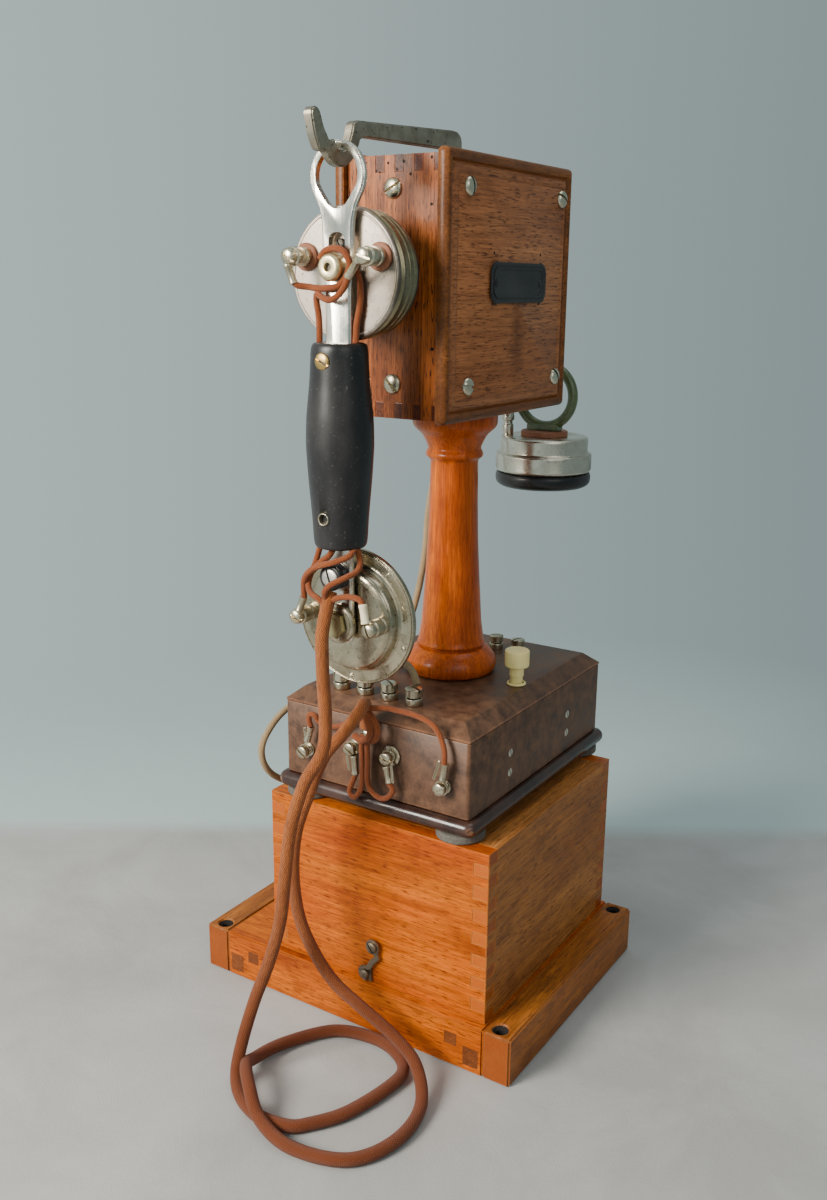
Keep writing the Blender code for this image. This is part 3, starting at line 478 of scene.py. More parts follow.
def metal(name, base, shade, rough, tarnish=.5, speck=0.0, brushed=None, painted_shade_span=None):
    """Plated or bare metal with tarnish in patches, fine scratches and dark specks. The last
    argument gives two places along Y, fully shaded and clear, between which a painted shade,
    mottled by the patches, thins out."""
    p = Paint(name)
    patch = p.noise(p.place(70), detail=6, rough=.65)
    fine = p.noise(p.place(900), detail=3)
    scale = [1600, 1600, 1600]
    if brushed is not None:
        scale[brushed] = 40
    scratch = p.noise(p.place(scale), detail=2)
    color = p.mix(p.span(patch, .42, .72, 0.0, tarnish), base, shade)
    # Painted shade: the metal is darkened in mottled patches towards -Y, as on the receiver plate.
    if painted_shade_span:
        along_y = p.node("SeparateXYZ", {0: p.place(1)}, 1)
        painted_shade = p.math("MULTIPLY", p.span(along_y, *painted_shade_span, 1.0, 0.0), p.span(patch, .3, .6, .5, .85))
        color = p.mix(painted_shade, color, (92, 84, 72))
    if speck:
        spots = p.span(p.noise(p.place(420), detail=3), .64, .70, 0.0, speck)
        color = p.mix(spots, color, (40, 34, 26))
    gloss = p.math("ADD", p.span(patch, .35, .75, rough - .06, rough + .16),
        p.span(scratch, .3, .7, -.04, .05))
    normal = p.bump(p.math("ADD", p.math("MULTIPLY", fine, .4), scratch), .00003, .5)
    p.finish(color, gloss, 1.0, normal)


def hard_rubber(name, base, bloom, rough=.42):
    """Black ebonite, dulled and browned a little by light, with fine scratches."""
    p = Paint(name)
    cloud = p.noise(p.place((60, 60, 25)), detail=6, rough=.6)
    scratch = p.noise(p.place((1300, 1300, 160)), detail=3)
    color = p.mix(p.span(cloud, .40, .72, 0.0, .75), base, bloom)
    dust = p.span(p.noise(p.place(800), detail=2), .66, .74, 0.0, .35)
    color = p.mix(dust, color, (120, 112, 104))
    gloss = p.span(cloud, .3, .75, rough - .07, rough + .12)
    p.finish(color, gloss, normal=p.bump(scratch, .00003, .6), specular=.45)


def brown_finish(name, base, dark, worn):
    """The base's chocolate-brown stain, mottled, lighter and redder along every edge: a painted
    edge highlight, with some wear.
    """
    p = Paint(name)
    mottle = p.noise(p.place(120), detail=7, rough=.7)
    cloud = p.noise(p.place(24), detail=4)
    fine = p.noise(p.place(1400), detail=3)
    color = p.mix(p.span(mottle, .36, .66), dark, base)
    color = p.mix(p.span(cloud, .45, .75, 0.0, .35), color, dark)
    # Painted edge highlight, with some wear: every edge is made lighter and redder in mottled
    # patches.
    edge_highlight_and_wear = p.math("MULTIPLY", p.edges(.0016), p.span(mottle, .35, .65, .35, .9))
    color = p.mix(edge_highlight_and_wear, color, worn)
    gloss = p.span(mottle, .3, .7, .36, .56)
    normal = p.bump(p.math("ADD", p.math("MULTIPLY", mottle, .7), fine), .00012, .45)
    p.finish(color, gloss, normal=normal, specular=.45)


def black_polish(name):
    """The half-round board: black polish, rubbed through to orange wood at the corners."""
    p = Paint(name)
    cloud = p.noise(p.place(50), detail=6, rough=.6)
    fibre = p.noise(p.place((60, 60, 900)), detail=3)
    color = p.mix(p.span(cloud, .4, .7, 0.0, .6), (40, 24, 20), (84, 52, 40))
    away = p.node("VectorMath", {0: p.place(1), 1: tuple(MIDDLE)}, 0, operation="SUBTRACT")
    across = p.node("SeparateXYZ", {0: away}, 0)
    deep = p.node("SeparateXYZ", {0: away}, 1)
    reach = p.math("ADD", p.math("ABSOLUTE", across), p.math("ABSOLUTE", deep))
    corner = p.span(reach, .1445, .1475)
    patch = p.span(p.noise(p.place(260), detail=4), .46, .56)
    color = p.mix(p.math("MULTIPLY", corner, patch), color, (196, 128, 74))
    gloss = p.span(cloud, .3, .7, .20, .36)
    p.finish(color, gloss, normal=p.bump(fibre, .00004, .4), coat=.3, coat_rough=.14)


def braid(name, light, dark, strands, pitch, worn=.45, low=None):
    """Braided cotton: strands that cross both ways round the cord, dulled by use. Low is a
    colour that it takes on near the floor."""
    p = Paint(name)
    where = p.node("TexCoord", {}, "UV")
    u = p.node("SeparateXYZ", {0: where}, 0)
    v = p.node("SeparateXYZ", {0: where}, 1)
    around = p.math("MULTIPLY", u, 2 * pi * strands)
    down = p.math("MULTIPLY", v, 2 * pi / pitch)
    one = p.math("SINE", p.math("ADD", around, down))
    two = p.math("SINE", p.math("SUBTRACT", around, down))
    height = p.math("MAXIMUM", one, two)
    fuzz = p.noise(p.place(1900), detail=4, rough=.7)
    cloud = p.noise(p.place(60), detail=5)
    thread = p.noise(p.place((2.2 * strands, 240, 1), "UV"), detail=3, rough=.6)
    color = p.mix(p.span(height, -.4, .9, .25, 1.0), dark, light)
    color = p.mix(p.span(thread, .40, .60, .55, 0.0), color, dark)
    if low:
        tall = p.node("SeparateXYZ", {0: p.place(1)}, 2)
        color = p.mix(p.span(tall, .015, .14, .85, 0.0), color, low)
    color = p.mix(p.span(cloud, .42, .70, 0.0, worn), color, dark)
    color = p.mix(p.span(fuzz, .40, .70, .45, 0.0), color, dark)
    normal = p.bump(p.math("ADD", height, p.math("MULTIPLY", fuzz, 1.6)), .00022, .9)
    p.finish(color, .9, normal=normal, specular=.15)
    p.shader.inputs["Sheen Weight"].default_value = .12
    p.shader.inputs["Sheen Roughness"].default_value = .5


def speckled(name, base, dark, rough, coarse=260, grain=.5, coat=0.0, depth=.00008):
    """A plain material with speckle: ivory, felt, carbon, enamel, fibre washers."""
    p = Paint(name)
    cloud = p.noise(p.place(45), detail=5)
    fine = p.noise(p.place((coarse,) * 3), detail=4, rough=.7)
    color = p.mix(p.span(fine, .40, .70, 0.0, grain), base, dark)
    color = p.mix(p.span(cloud, .45, .75, 0.0, grain * .6), color, dark)
    gloss = p.span(cloud, .3, .7, rough - .06, rough + .08)
    p.finish(color, gloss, normal=p.bump(fine, depth, .5), coat=coat)


def make_paints():
    oak = ((98, 30, 0), (204, 84, 0), (236, 122, 8))
    brown_ends = (.55, (126, 70, 28))
    walnut = ((82, 42, 22), (178, 110, 68), (208, 136, 86))
    mahogany = ((42, 12, 2), (166, 76, 28), (214, 120, 56))
    amber = ((104, 30, 0), (222, 96, 0), (246, 126, 0))
    worn = (204, 126, 58)
    for grain, letter in enumerate("xyz"):
        wood("oak_" + letter, *oak, grain, coat=.06, worn=worn, seed=grain, figure=.4, pores=.8,
            dirt=.6, ends=brown_ends)
        wood("mahogany_" + letter, *mahogany, grain, rough=.28, coat=.4, ends=(.8, (58, 22, 12)),
            worn=(150, 76, 34), seed=grain * 3, pores=.9, figure=.55, dirt=.7)
    # A browner oak for the cover's front and rear boards: partly their own tone, partly painted
    # shade for the front face, which the window light misses.
    wood("oak_x_front_shaded", (80, 40, 14), (170, 104, 50), (204, 134, 68), 0, rough=.5, coat=.05,
        worn=worn, seed=4, pores=.7, figure=.35, dirt=.6, ends=(.8, (190, 88, 16)))
    wood("cover_top", (50, 24, 10), (160, 90, 42), (196, 126, 66), 0, rough=.34, coat=.2, dirt=.9,
        worn=worn, seed=6, figure=.2)
    wood("plinth_y", *oak, 1, rough=.42, coat=.05, dirt=.9, worn=(176, 96, 34), seed=7, figure=.4,
        pores=.8)
    wood("plinth_x", (66, 34, 10), (168, 92, 32), (204, 124, 50), 0, rough=.45, coat=.05, dirt=.9,
        worn=(150, 92, 48), seed=9, figure=.35, ends=(.75, (150, 68, 18)))
    wood("tenon", (60, 26, 10), (146, 78, 34), (168, 92, 40), 0, rough=.5, coat=.1, seed=11,
        ends=(.2, None))
    wood("amber_bead", (60, 28, 10), (136, 78, 34), (168, 100, 44), 0, rough=.42, coat=.1, dirt=.7,
        worn=(180, 108, 48), seed=12, ends=(.2, None))
    wood("walnut", *walnut, 0, rough=.46, coat=.06, dirt=.55, pores=.8, worn=(150, 88, 44), seed=5,
        figure=.3, knot=KNOT)
    wood("turned_wood", *amber, 2, rough=.30, coat=.22, pores=.3, dirt=.6, seed=8, figure=.45,
        ends=(.1, None))
    brown_finish("brown", (116, 80, 56), (66, 42, 28), (172, 116, 82))
    black_polish("black_polish")
    hard_rubber("ebonite", (24, 23, 24), (50, 46, 46), .36)
    metal("nickel", (214, 207, 192), (150, 140, 118), .24, .55, .35)
    metal("bright_nickel", (232, 226, 214), (190, 180, 160), .20, .4, .15, brushed=2)
    metal("screw_nickel", (206, 196, 172), (140, 124, 92), .28, .7, .4)
    metal("old_nickel", (176, 166, 148), (108, 98, 84), .38, .8, .8, brushed=0)
    # The receiver plate carries a painted shade that darkens it towards -Y.
    metal("plate_nickel", (224, 208, 194), (150, 136, 116), .34, .75, .5, painted_shade_span=(-.04, -.016))
    # A darker, patchier nickel for the transmitter: painted reflection, standing in for the dark
    # surroundings that its shell mirrors.
    metal("nickel_dark_reflection", (190, 178, 154), (104, 94, 68), .24, .85, .6)
    metal("rim_nickel", (158, 148, 118), (84, 74, 52), .30, .85, .6)
    metal("dome_nickel", (214, 206, 184), (160, 146, 112), .22, .5, .2)
    metal("pale_screw", (222, 216, 204), (170, 164, 150), .40, .5, .3)
    metal("cream_nut", (232, 216, 170), (190, 170, 124), .34, .5, .2)
    metal("old_brass", (196, 184, 140), (140, 128, 84), .34, .6, .4)
    metal("brass", (214, 178, 110), (150, 112, 62), .30, .6, .3)
    metal("pewter", (150, 138, 120), (80, 70, 58), .42, .8, .6)
    metal("iron", (104, 98, 90), (60, 54, 48), .48, .8, .6)
    hard_rubber("black_plate", (38, 38, 40), (66, 64, 62), .5)
    speckled("olive", (92, 104, 62), (44, 56, 36), .34, 180, .55, .4)
    speckled("ivory", (255, 234, 158), (246, 206, 118), .30, 120, .25, .1)
    speckled("fibre", (150, 92, 62), (96, 52, 34), .55, 500, .5)
    speckled("felt", (104, 98, 90), (60, 54, 50), .85, 900, .7, 0, .0004)
    metal("zinc", (160, 162, 164), (110, 112, 112), .45, .7, .5)
    metal("copper", (184, 110, 74), (110, 66, 44), .36, .6, .2)
    speckled("carbon", (44, 44, 44), (20, 20, 20), .75, 1200, .6)
    braid("brown_braid", (214, 130, 70), (108, 52, 24), 18, .0019, low=(104, 50, 30))
    braid("thin_braid", (190, 106, 58), (112, 52, 26), 10, .0016)
    braid("beige_braid", (206, 180, 142), (150, 122, 88), 10, .0018)
    speckled("thread", (236, 224, 190), (190, 170, 130), .75, 900, .4)
    speckled("dark_hole", (24, 16, 12), (12, 8, 6), .9, 500, .5)


# ------------------------------------------------------------- cord routes

MAIN_ROUTE = [(-.1086, -.0122, .2656), (-.1112, -.0122, .26), (-.1148, -.0118, .248),
    (-.1158, -.0118, .24), (-.116, -.0124, .2215), (-.1165, -.014, .2008), (-.1182, -.013, .1835),
    (-.1212, -.003, .164), (-.1252, .003, .1387), (-.1292, .0042, .1115), (-.133, .0048, .089),
    (-.138, .0089, .066), (-.144, .0146, .044), (-.151, .0178, .0222), (-.1585, .016, .008),
    (-.1672, .006, .0038), (-.1738, -.011, .0036), (-.1712, -.029, .0036), (-.1635, -.0375, .0036),
    (-.148, -.0475, .0036), (-.124, -.054, .0036), (-.105, -.0545, .0036), (-.0935, -.043, .0036),
    (-.0895, -.0245, .0036), (-.0965, -.002, .0036), (-.121, .014, .004), (-.143, .0175, .0062),
    (-.1565, .0108, .0135), (-.169, -.002, .0135), (-.1785, -.017, .007), (-.1822, -.04, .0036),
    (-.1735, -.068, .0036), (-.15, -.08, .0036), (-.123, -.0775, .0045), (-.106, -.0635, .0125),
    (-.102, -.046, .0215), (-.1045, -.027, .033), (-.107, -.01, .0445), (-.109, .003, .062),
    (-.11, .011, .081), (-.11, .014, .1058), (-.1088, .0122, .129), (-.107, .0055, .15),
    (-.105, -.0035, .1735), (-.1, -.0135, .1885), (-.0925, -.018, .1985), (-.0845, -.0155, .2),
    (-.0798, -.013, .193), (-.0796, -.0129, .1845)]

RECEIVER_ROUTE = [(.0925, -.001, .3375), (.092, .003, .342), (.089, .013, .341), (.08, .026, .328),
    (.064, .032, .306), (.045, .027, .28), (.03, .02, .256), (.026, .0225, .23), (.02, .026, .211),
    (.002, .0255, .2), (-.018, .013, .1985), (-.033, -.002, .204), (-.043, -.014, .2105),
    (-.049, -.023, .2085), (-.0512, -.0268, .203)]

BATTERY_ROUTE = [(-.015, .0478, .17), (-.0152, .054, .17), (-.021, .0605, .1705),
    (-.034, .0665, .17), (-.051, .07, .1645), (-.064, .0715, .153), (-.066, .0715, .142),
    (-.059, .071, .13), (-.043, .07, .119), (-.023, .067, .112), (-.0085, .0668, .1096),
    (-.0042, .064, .109), (-.004, .0576, .109)]

MAIN_CORD, THIN_CORD = .0068, .004
LEAD_RADIUS = .00155


def cord_piece(name, route, diameter, paint, body="root"):
    """A braided cord on its route. Returns the piece, its path and its length."""
    path = smooth_line(route, 10)
    piece = make(name + "_braid", drawn(tube, path, diameter / 2, 16), paint, body, [name],
        sharp=70)
    length = sum((b - a).length for a, b in zip(path, path[1:]))
    return piece, path, length


def lead(bm, points, radius=LEAD_RADIUS):
    tube(bm, smooth_line(points, 6), radius, 12)


def ferrule(bm, start, end, radius=.0019):
    """The nickel sleeve that ends a lead, with a collar at each end."""
    start, end = Vector(start), Vector(end)
    long = (end - start).length
    turned(bm, [(0, 0), (radius, 0), (radius * 1.1, .0006), (radius * 1.1, .0014), (radius, .0018),
        (radius, long - .0012), (radius * 1.12, long - .0008), (radius * 1.12, long), (0, long)],
        start, end - start, 20)


def split_pin(bm, start, end, gap=.0009):
    """Two thin wires side by side, joined at the far end."""
    start, end = Vector(start), Vector(end)
    side = (end - start).cross(X).normalized() * gap / 2
    points = [start + side, end + side, end - side, start - side]
    tube(bm, softened(points, .0006), .00042, 8)


# One lead goes round over the clamp nut, one under it, and one runs down on the right.
RECEIVER_LEADS = [
    [(-.1085, .008, .4135), (-.1075, .006, .4118), (-.105, .0015, .4112), (-.1048, -.004, .4106),
        (-.1046, -.0095, .4108), (-.1044, -.015, .4118), (-.1042, -.0195, .416),
        (-.1042, -.0215, .4215), (-.1044, -.0185, .427), (-.1046, -.013, .4286),
        (-.1044, -.0075, .4272), (-.104, -.0045, .424)],
    [(-.1062, -.0222, .4165), (-.1072, -.0214, .4125), (-.1078, -.0178, .4078),
        (-.1076, -.0125, .4055), (-.1066, -.0073, .4066), (-.1052, -.0036, .408),
        (-.1034, -.0016, .405), (-.103, -.0024, .399), (-.1032, -.003, .393),
        (-.103, -.0028, .385)],
    [(-.099, -.0215, .419), (-.0985, -.0232, .4146), (-.0985, -.0236, .4076),
        (-.0985, -.0229, .4016), (-.0988, -.0216, .3944), (-.0992, -.0212, .385)],
]

TRANSMITTER_LEADS = [
    [(-.1015, -.0225, .2885), (-.107, -.0225, .2847), (-.1112, -.0169, .2818),
        (-.112, -.0087, .279), (-.1112, -.0014, .2752), (-.1095, .0036, .2697),
        (-.1082, .005, .2641), (-.108, .005, .2596)],
    [(-.1005, -.0222, .289), (-.1015, -.025, .281), (-.105, -.0255, .277), (-.111, -.0225, .2744),
        (-.114, -.0162, .2707), (-.114, -.0125, .2665), (-.1122, -.0118, .262)],
    [(-.1045, -.0035, .2885), (-.105, -.0005, .279), (-.107, .0026, .269), (-.111, -.001, .2645),
        (-.1128, -.0075, .2622), (-.1124, -.0108, .26)],
    [(-.1105, -.014, .2615), (-.1105, -.018, .2636), (-.1095, -.024, .2648), (-.109, -.0298, .2642),
        (-.109, -.0319, .2612)],
    [(-.1035, -.0117, .2885), (-.1065, -.0098, .283), (-.109, -.006, .2795),
        (-.1085, -.001, .2745)],
]


def lead_cords(name, routes, paint):
    """Each short lead at the handset's receiver end is a piece of its own, riding on the handset.
    """
    for number, route in enumerate(routes, start=1):
        path = smooth_line(route, 6)
        piece = make(f"{name}_{number}", drawn(tube, path, LEAD_RADIUS, 12), paint, "handset")


def transmitter_leads():
    """The thin leads that fan out of the main cord at the handset's lower end."""
    bm = bmesh.new()
    for route in TRANSMITTER_LEADS:
        lead(bm, route)
    return make("transmitter_leads", bm, "thin_braid", "handset")


def base_leads():
    """The leads from the cord's junction to the posts on the base's left wall."""
    bm = bmesh.new()
    lead(bm, [(-.0795, .0244, .1765), (-.0795, .0256, .1807), (-.0795, .0247, .1838),
        (-.0792, .0215, .1836), (-.0785, .0195, .1805), (-.0775, .012, .1788),
        (-.0785, .0043, .1814), (-.08, -.004, .1868), (-.0815, -.011, .1935)])
    lead(bm, [(-.079, -.0056, .1553), (-.0795, -.0033, .1495), (-.08, -.0022, .1447),
        (-.0802, -.0052, .1423), (-.08, -.0089, .1464), (-.0795, -.0102, .152),
        (-.0795, -.0104, .1625), (-.0805, -.0106, .1725), (-.0805, -.0112, .1775)])
    lead(bm, [(-.0792, -.0276, .1556), (-.0792, -.03, .1522), (-.0796, -.0274, .1478),
        (-.0798, -.0225, .146), (-.0796, -.0166, .1484), (-.0792, -.0136, .1531),
        (-.0792, -.0134, .1583), (-.0798, -.014, .165), (-.0805, -.0144, .1726),
        (-.0805, -.0142, .1775)])
    lead(bm, [(-.0838, -.0172, .1975), (-.0818, -.0215, .1978), (-.08, -.027, .1984),
        (-.0795, -.033, .1982), (-.0792, -.0408, .198), (-.0785, -.0491, .1964),
        (-.0785, -.0553, .1935), (-.0785, -.0593, .1878), (-.079, -.0616, .1816),
        (-.0798, -.0622, .175)])
    wrap = [(-.083, -.015, .196), (-.0835, -.0205, .1915), (-.0828, -.0225, .1858),
        (-.0815, -.02, .18), (-.0805, -.015, .1776), (-.08, -.01, .179)]
    lead(bm, wrap, .0021)
    lead(bm, [Vector(p) + Vector((-.0022, .003, .0004)) for p in wrap], .0019)
    return make("base_leads", bm, "thin_braid")


def make_cords():
    main, path, length = cord_piece("main_cord", MAIN_ROUTE, MAIN_CORD, "brown_braid", None)
    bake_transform(main)
    ends = [transmitter_leads(), base_leads()]
    lead_cords("receiver_lead", RECEIVER_LEADS, "thin_braid")
    thin, path, length = cord_piece("receiver_cord", RECEIVER_ROUTE, THIN_CORD, "beige_braid", None)
    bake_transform(thin)
    rear, path, length = cord_piece("battery_cord", BATTERY_ROUTE, THIN_CORD, "beige_braid")


# ------------------------------------------------------------- battery box

def comb(start, end, teeth, depth):
    """A zigzag edge in (position, depth): spans inside teeth stand out to the depth."""
    line = [(start, 0)]
    for low, high in teeth:
        line += [(low, 0), (low, depth), (high, depth), (high, 0)]
    return line + [(end, 0)]


def finger_spans(low, high, count):
    """Every second one of count equal spans, beginning with the second."""
    step = (high - low) / count
    return [(low + step * i, low + step * (i + 1)) for i in range(1, count, 2)]


def jointed_board(bm, plane, ends, sides, teeth, wall, out, low, high, joint=.00006):
    """A board between two ends, whose fingers fill, or whose notches leave, the corner
    squares. Out is true for fingers that stand out over the teeth, false for notches."""
    outline = []
    start, end = sides
    for sign, edge in ((1, ends[1]), (-1, ends[0])):
        run = comb(start, end, teeth, 1)
        if sign < 0:
            run = run[::-1]
        for position, tooth in run:
            full = tooth if out else 1 - tooth
            reach = edge - sign * (0 if full else wall) - sign * joint
            outline.append((reach, position))
    slab(bm, outline, plane, low, high, .00025)


def battery_cover():
    """Four finger-jointed walls, and a lid let in between them."""
    low, high, wall = COVER_LOW, COVER_HIGH, .009
    teeth = finger_spans(low.z, high.z, 15)
    for name, x0, x1 in (("left", low.x, low.x + wall), ("right", high.x - wall, high.x)):
        make(f"cover_{name}_wall", drawn(jointed_board, "yz", (low.y, high.y), (low.z, high.z),
            teeth, wall, False, x0, x1), "oak_y", stands_for=["battery_cover"]
            if name == "left" else ())
    # The front and rear walls take the browner oak, partly painted shade.
    for name, y0, y1 in (("front", low.y, low.y + wall), ("rear", high.y - wall, high.y)):
        make(f"cover_{name}_wall", drawn(jointed_board, "xz", (low.x, high.x), (low.z, high.z),
            teeth, wall, True, y0, y1), "oak_x_front_shaded")
    make("cover_top", drawn(block, (low.x + wall + .00008, low.y + wall + .00008, high.z - wall),
        (high.x - wall - .00008, high.y - wall - .00008, high.z - .00005), .0004, 2), "cover_top")


def plinth():
    """The board between two cross rails, with four countersunk holes."""
    low, high, rail = PLINTH_LOW, PLINTH_HIGH, .0165
    spots = [(x, y) for x in (-.0745, .0745) for y in (-.097, .097)]
    hole = [(0, -.001), (.0026, -.001), (.0026, high.z - .0026), (.0054, high.z + .0002),
        (.0054, high.z + .002), (0, high.z + .002)]
    make("plinth_board", drawn(block, (low.x, low.y + rail, 0), (high.x, high.y - rail, high.z),
        .001), "plinth_y", stands_for=["plinth"])
    rails = (("front", low.y, low.y + rail), ("rear", high.y - rail, high.y))
    for name, y0, y1 in rails:
        piece = make(f"plinth_{name}_rail", drawn(block, (low.x, y0, 0), (high.x, y1, high.z),
            .0011, 3), "plinth_x")
        cutter = bmesh.new()
        for x, y in spots:
            if y0 < y < y1:
                turned(cutter, hole, (x, y, 0), segments=32)
        carve(piece, cutter)
    # Painted shade: a dark lining inside each countersunk hole.
    bm = bmesh.new()
    for x, y in spots:
        turned(bm, [(0, high.z - .006), (.00255, high.z - .006), (.00255, high.z - .0025),
            (.0044, high.z - .0008)], (x, y, 0), segments=32)
    make("plinth_hole_painted_shade", bm, "dark_hole")
    bm = bmesh.new()
    for x in (low.x, high.x):
        for y0, y1, z0, z1 in ((.019, .0285, .004, .0152), (.0325, .0405, .013, .0205)):
            for y in (low.y + y0, high.y - y1):
                place = [(y, z1), (y, z0), (y + y1 - y0, z0), (y + y1 - y0, z1)]
                slab(bm, place, "yz", x - .0008, x + .0008, 0)
    bmesh.ops.translate(bm, verts=[v for v in bm.verts if v.co.x > 0], vec=(-.00075, 0, 0))
    bmesh.ops.translate(bm, verts=[v for v in bm.verts if v.co.x < 0], vec=(.00075, 0, 0))
    make("plinth_tenons", bm, "tenon")


def ribbon(line, halves):
    """The outline of a flat bar that follows a line and changes width."""
    left, right = [], []
    last = len(line) - 1
    for i, (point, half) in enumerate(zip(line, halves)):
        run = (Vector(line[min(i + 1, last)]) - Vector(line[max(i - 1, 0)])).normalized()
        across = Vector((-run.y, run.x)) * half
        left.append(Vector(point) + across)
        right.append(Vector(point) - across)
    return left + right[::-1]


def latch():
    pivot_low, pivot_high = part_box("latch_pivot_screw")
    pivot = (pivot_low + pivot_high) / 2
    stud_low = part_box("latch_stud")[0]
    wall = COVER_LOW.x
    stud = Vector((-.0118, .0348))
    catch = arc(stud, .0036, 100, -100, 20)
    line = [(pivot.y, pivot.z), (pivot.y - .003, pivot.z - .006), (stud.x - .0045, stud.y + .0085),
        (stud.x - .0022, stud.y + .0046), *catch]
    halves = [.0024, .0018, .0017, .0016] + [.0014] * len(catch)
    bm = bmesh.new()
    slab(bm, ribbon(line, halves), "yz", wall - .003, wall - .0016, .0003)
    turned(bm, rod(.0045, .0016, .0031, .002), (wall, pivot.y, pivot.z), -X, 40, closed=True,
        soft=.0003)
    make("latch_hook_iron", bm, "pewter", "latch_hook", ["latch_hook"])
    bm = bmesh.new()
    turned(bm, rod(.0015, .0003, .0034), (wall, pivot.y, pivot.z), -X, 24)
    screw(bm, (wall - .0034, pivot.y, pivot.z), -X, .0033, .0017, 40, shank=.0002)
    make("latch_screw", bm, "pewter", stands_for=["latch_pivot_screw"])
    bm = bmesh.new()
    block(bm, (wall - .0012, stud.x - .0034, stud_low.z), (wall - .0003, stud.x + .0034, .0378),
        .0003)
    turned(bm, [(0, .0006), (.0017, .0006), (.0017, .0033), (.0027, .0036), (.0024, .0044),
        (.0012, .0048), (0, .0049)], (wall, stud.x, stud.y), -X, 32, soft=.0002)
    make("latch_staple", bm, "pewter", stands_for=["latch_stud"])


# ------------------------------------------------------------ telephone base

def boxed_ring(half_x, half_y, radius, height, steps=6):
    middle = (MIDDLE.x, MIDDLE.y)
    return [Vector((a, b, height))
        for a, b in rounded_rectangle(half_x, half_y, radius, steps, middle)]


def base():
    for number in range(1, 5):
        low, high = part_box(f"foot_{number}")
        at = ((low.x + high.x) / 2, (low.y + high.y) / 2, low.z)
        radius, tall = (high.x - low.x) / 2, high.z - low.z
        make(f"foot_pad_{number}", drawn(turned, [(0, 0), (radius - .0004, 0), (radius, .0008),
            (radius - .0002, tall * .55), (radius, tall - .001), (radius - .0008, tall), (0, tall)],
            at, soft=.0006), "felt", stands_for=[f"foot_{number}"])

    half = (BOARD_HIGH.z - BOARD_LOW.z) / 2
    middle = (BOARD_HIGH.z + BOARD_LOW.z) / 2
    reach = (BOARD_HIGH - BOARD_LOW) / 2
    rings = []
    for turn in range(-90, 91, 15):
        shrink = half * (1 - cos(radians(turn)))
        rings.append(boxed_ring(reach.x - shrink, reach.y - shrink, max(.006 - shrink, .001),
            middle + half * sin(radians(turn))))
    make("base_moulding", skin(rings), "black_polish", stands_for=["base_board"])

    reach = (BASE_HIGH - BASE_LOW) / 2
    wall = .007
    outside = [boxed_ring(reach.x - inset, reach.y - inset, .0022, z)
        for inset, z in ((.0004, BASE_LOW.z), (0, BASE_LOW.z + .0005), (0, BASE_HIGH.z - .0004),
        (.0003, BASE_HIGH.z))]
    inside = [boxed_ring(reach.x - wall, reach.y - wall, .001, z)
        for z in (BASE_HIGH.z, BASE_LOW.z)]
    make("base_walls", skin(outside + inside, closed=True), "brown", stands_for=["base_case"])

    reach = (DECK_HIGH - DECK_LOW) / 2
    slope = .008
    profile = [(.0003, DECK_LOW.z), (0, DECK_LOW.z + .0003), (0, DECK_LOW.z + .0011),
        (.0005, DECK_LOW.z + .0014), (slope - .0004, DECK_HIGH.z - .0003),
        (slope, DECK_HIGH.z - .0001), (slope + .0004, DECK_HIGH.z)]
    rings = [boxed_ring(reach.x - inset, reach.y - inset, .0009, z) for inset, z in profile]
    lid = make("deck_lid", skin(rings), "brown", stands_for=["base_deck"],
        sharp=24)
    cutter = bmesh.new()
    low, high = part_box("call_button")
    button = ((low.x + high.x) / 2, (low.y + high.y) / 2, 0)
    for at, radius in (((MIDDLE.x, MIDDLE.y, 0), .0048), (button, .0042)):
        turned(cutter, rod(radius, .17, .21), at, segments=32)
    carve(lid, cutter)

    bm = bmesh.new()
    for x in (-.0287, .0423):
        for z in (.1665, .155):
            screw(bm, (x, BASE_LOW.y + .0001, z), -Y, .0023, .0004, 20, shank=.0012)
    make("base_front_screws", bm, "pale_screw")

    profile = [(0, .18), (.0036, .18), (.0036, .1992), (.0042, .1994), (.0041, .2046),
        (.0066, .2048), (.007, .2054), (.007, .2138), (.0064, .2145), (.003, .2146), (0, .2146)]
    make("ivory_button", drawn(turned, profile, button, segments=48, soft=.0004), "ivory",
        "call_button", ["call_button"])
    low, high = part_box("button_bush")
    make("ivory_bush", drawn(turned, [(.0043, low.z), (.0056, low.z), (.0054, high.z - .0007),
        (.005, high.z - .0003), (.0043, high.z - .0003)], button, segments=48, closed=True,
        soft=.0002), "ivory", stands_for=["button_bush"], sharp=50)


# turn of the slot, ferrule from and to, pin from and to (y and z)
LINE_POSTS = [
    (55, (.0275, .1672), (.0244, .1766), (.0268, .168), (.028, .1755)),
    (60, (-.0046, .1662), (-.0055, .1556), (-.001, .166), (-.0024, .1576)),
    (30, None, None, None, None),
    (80, (-.0254, .165), (-.0277, .156), (-.0298, .1668), (-.0309, .1572)),
    (-60, (-.0606, .165), (-.0621, .1752), (-.0562, .1658), (-.0596, .1762)),
]


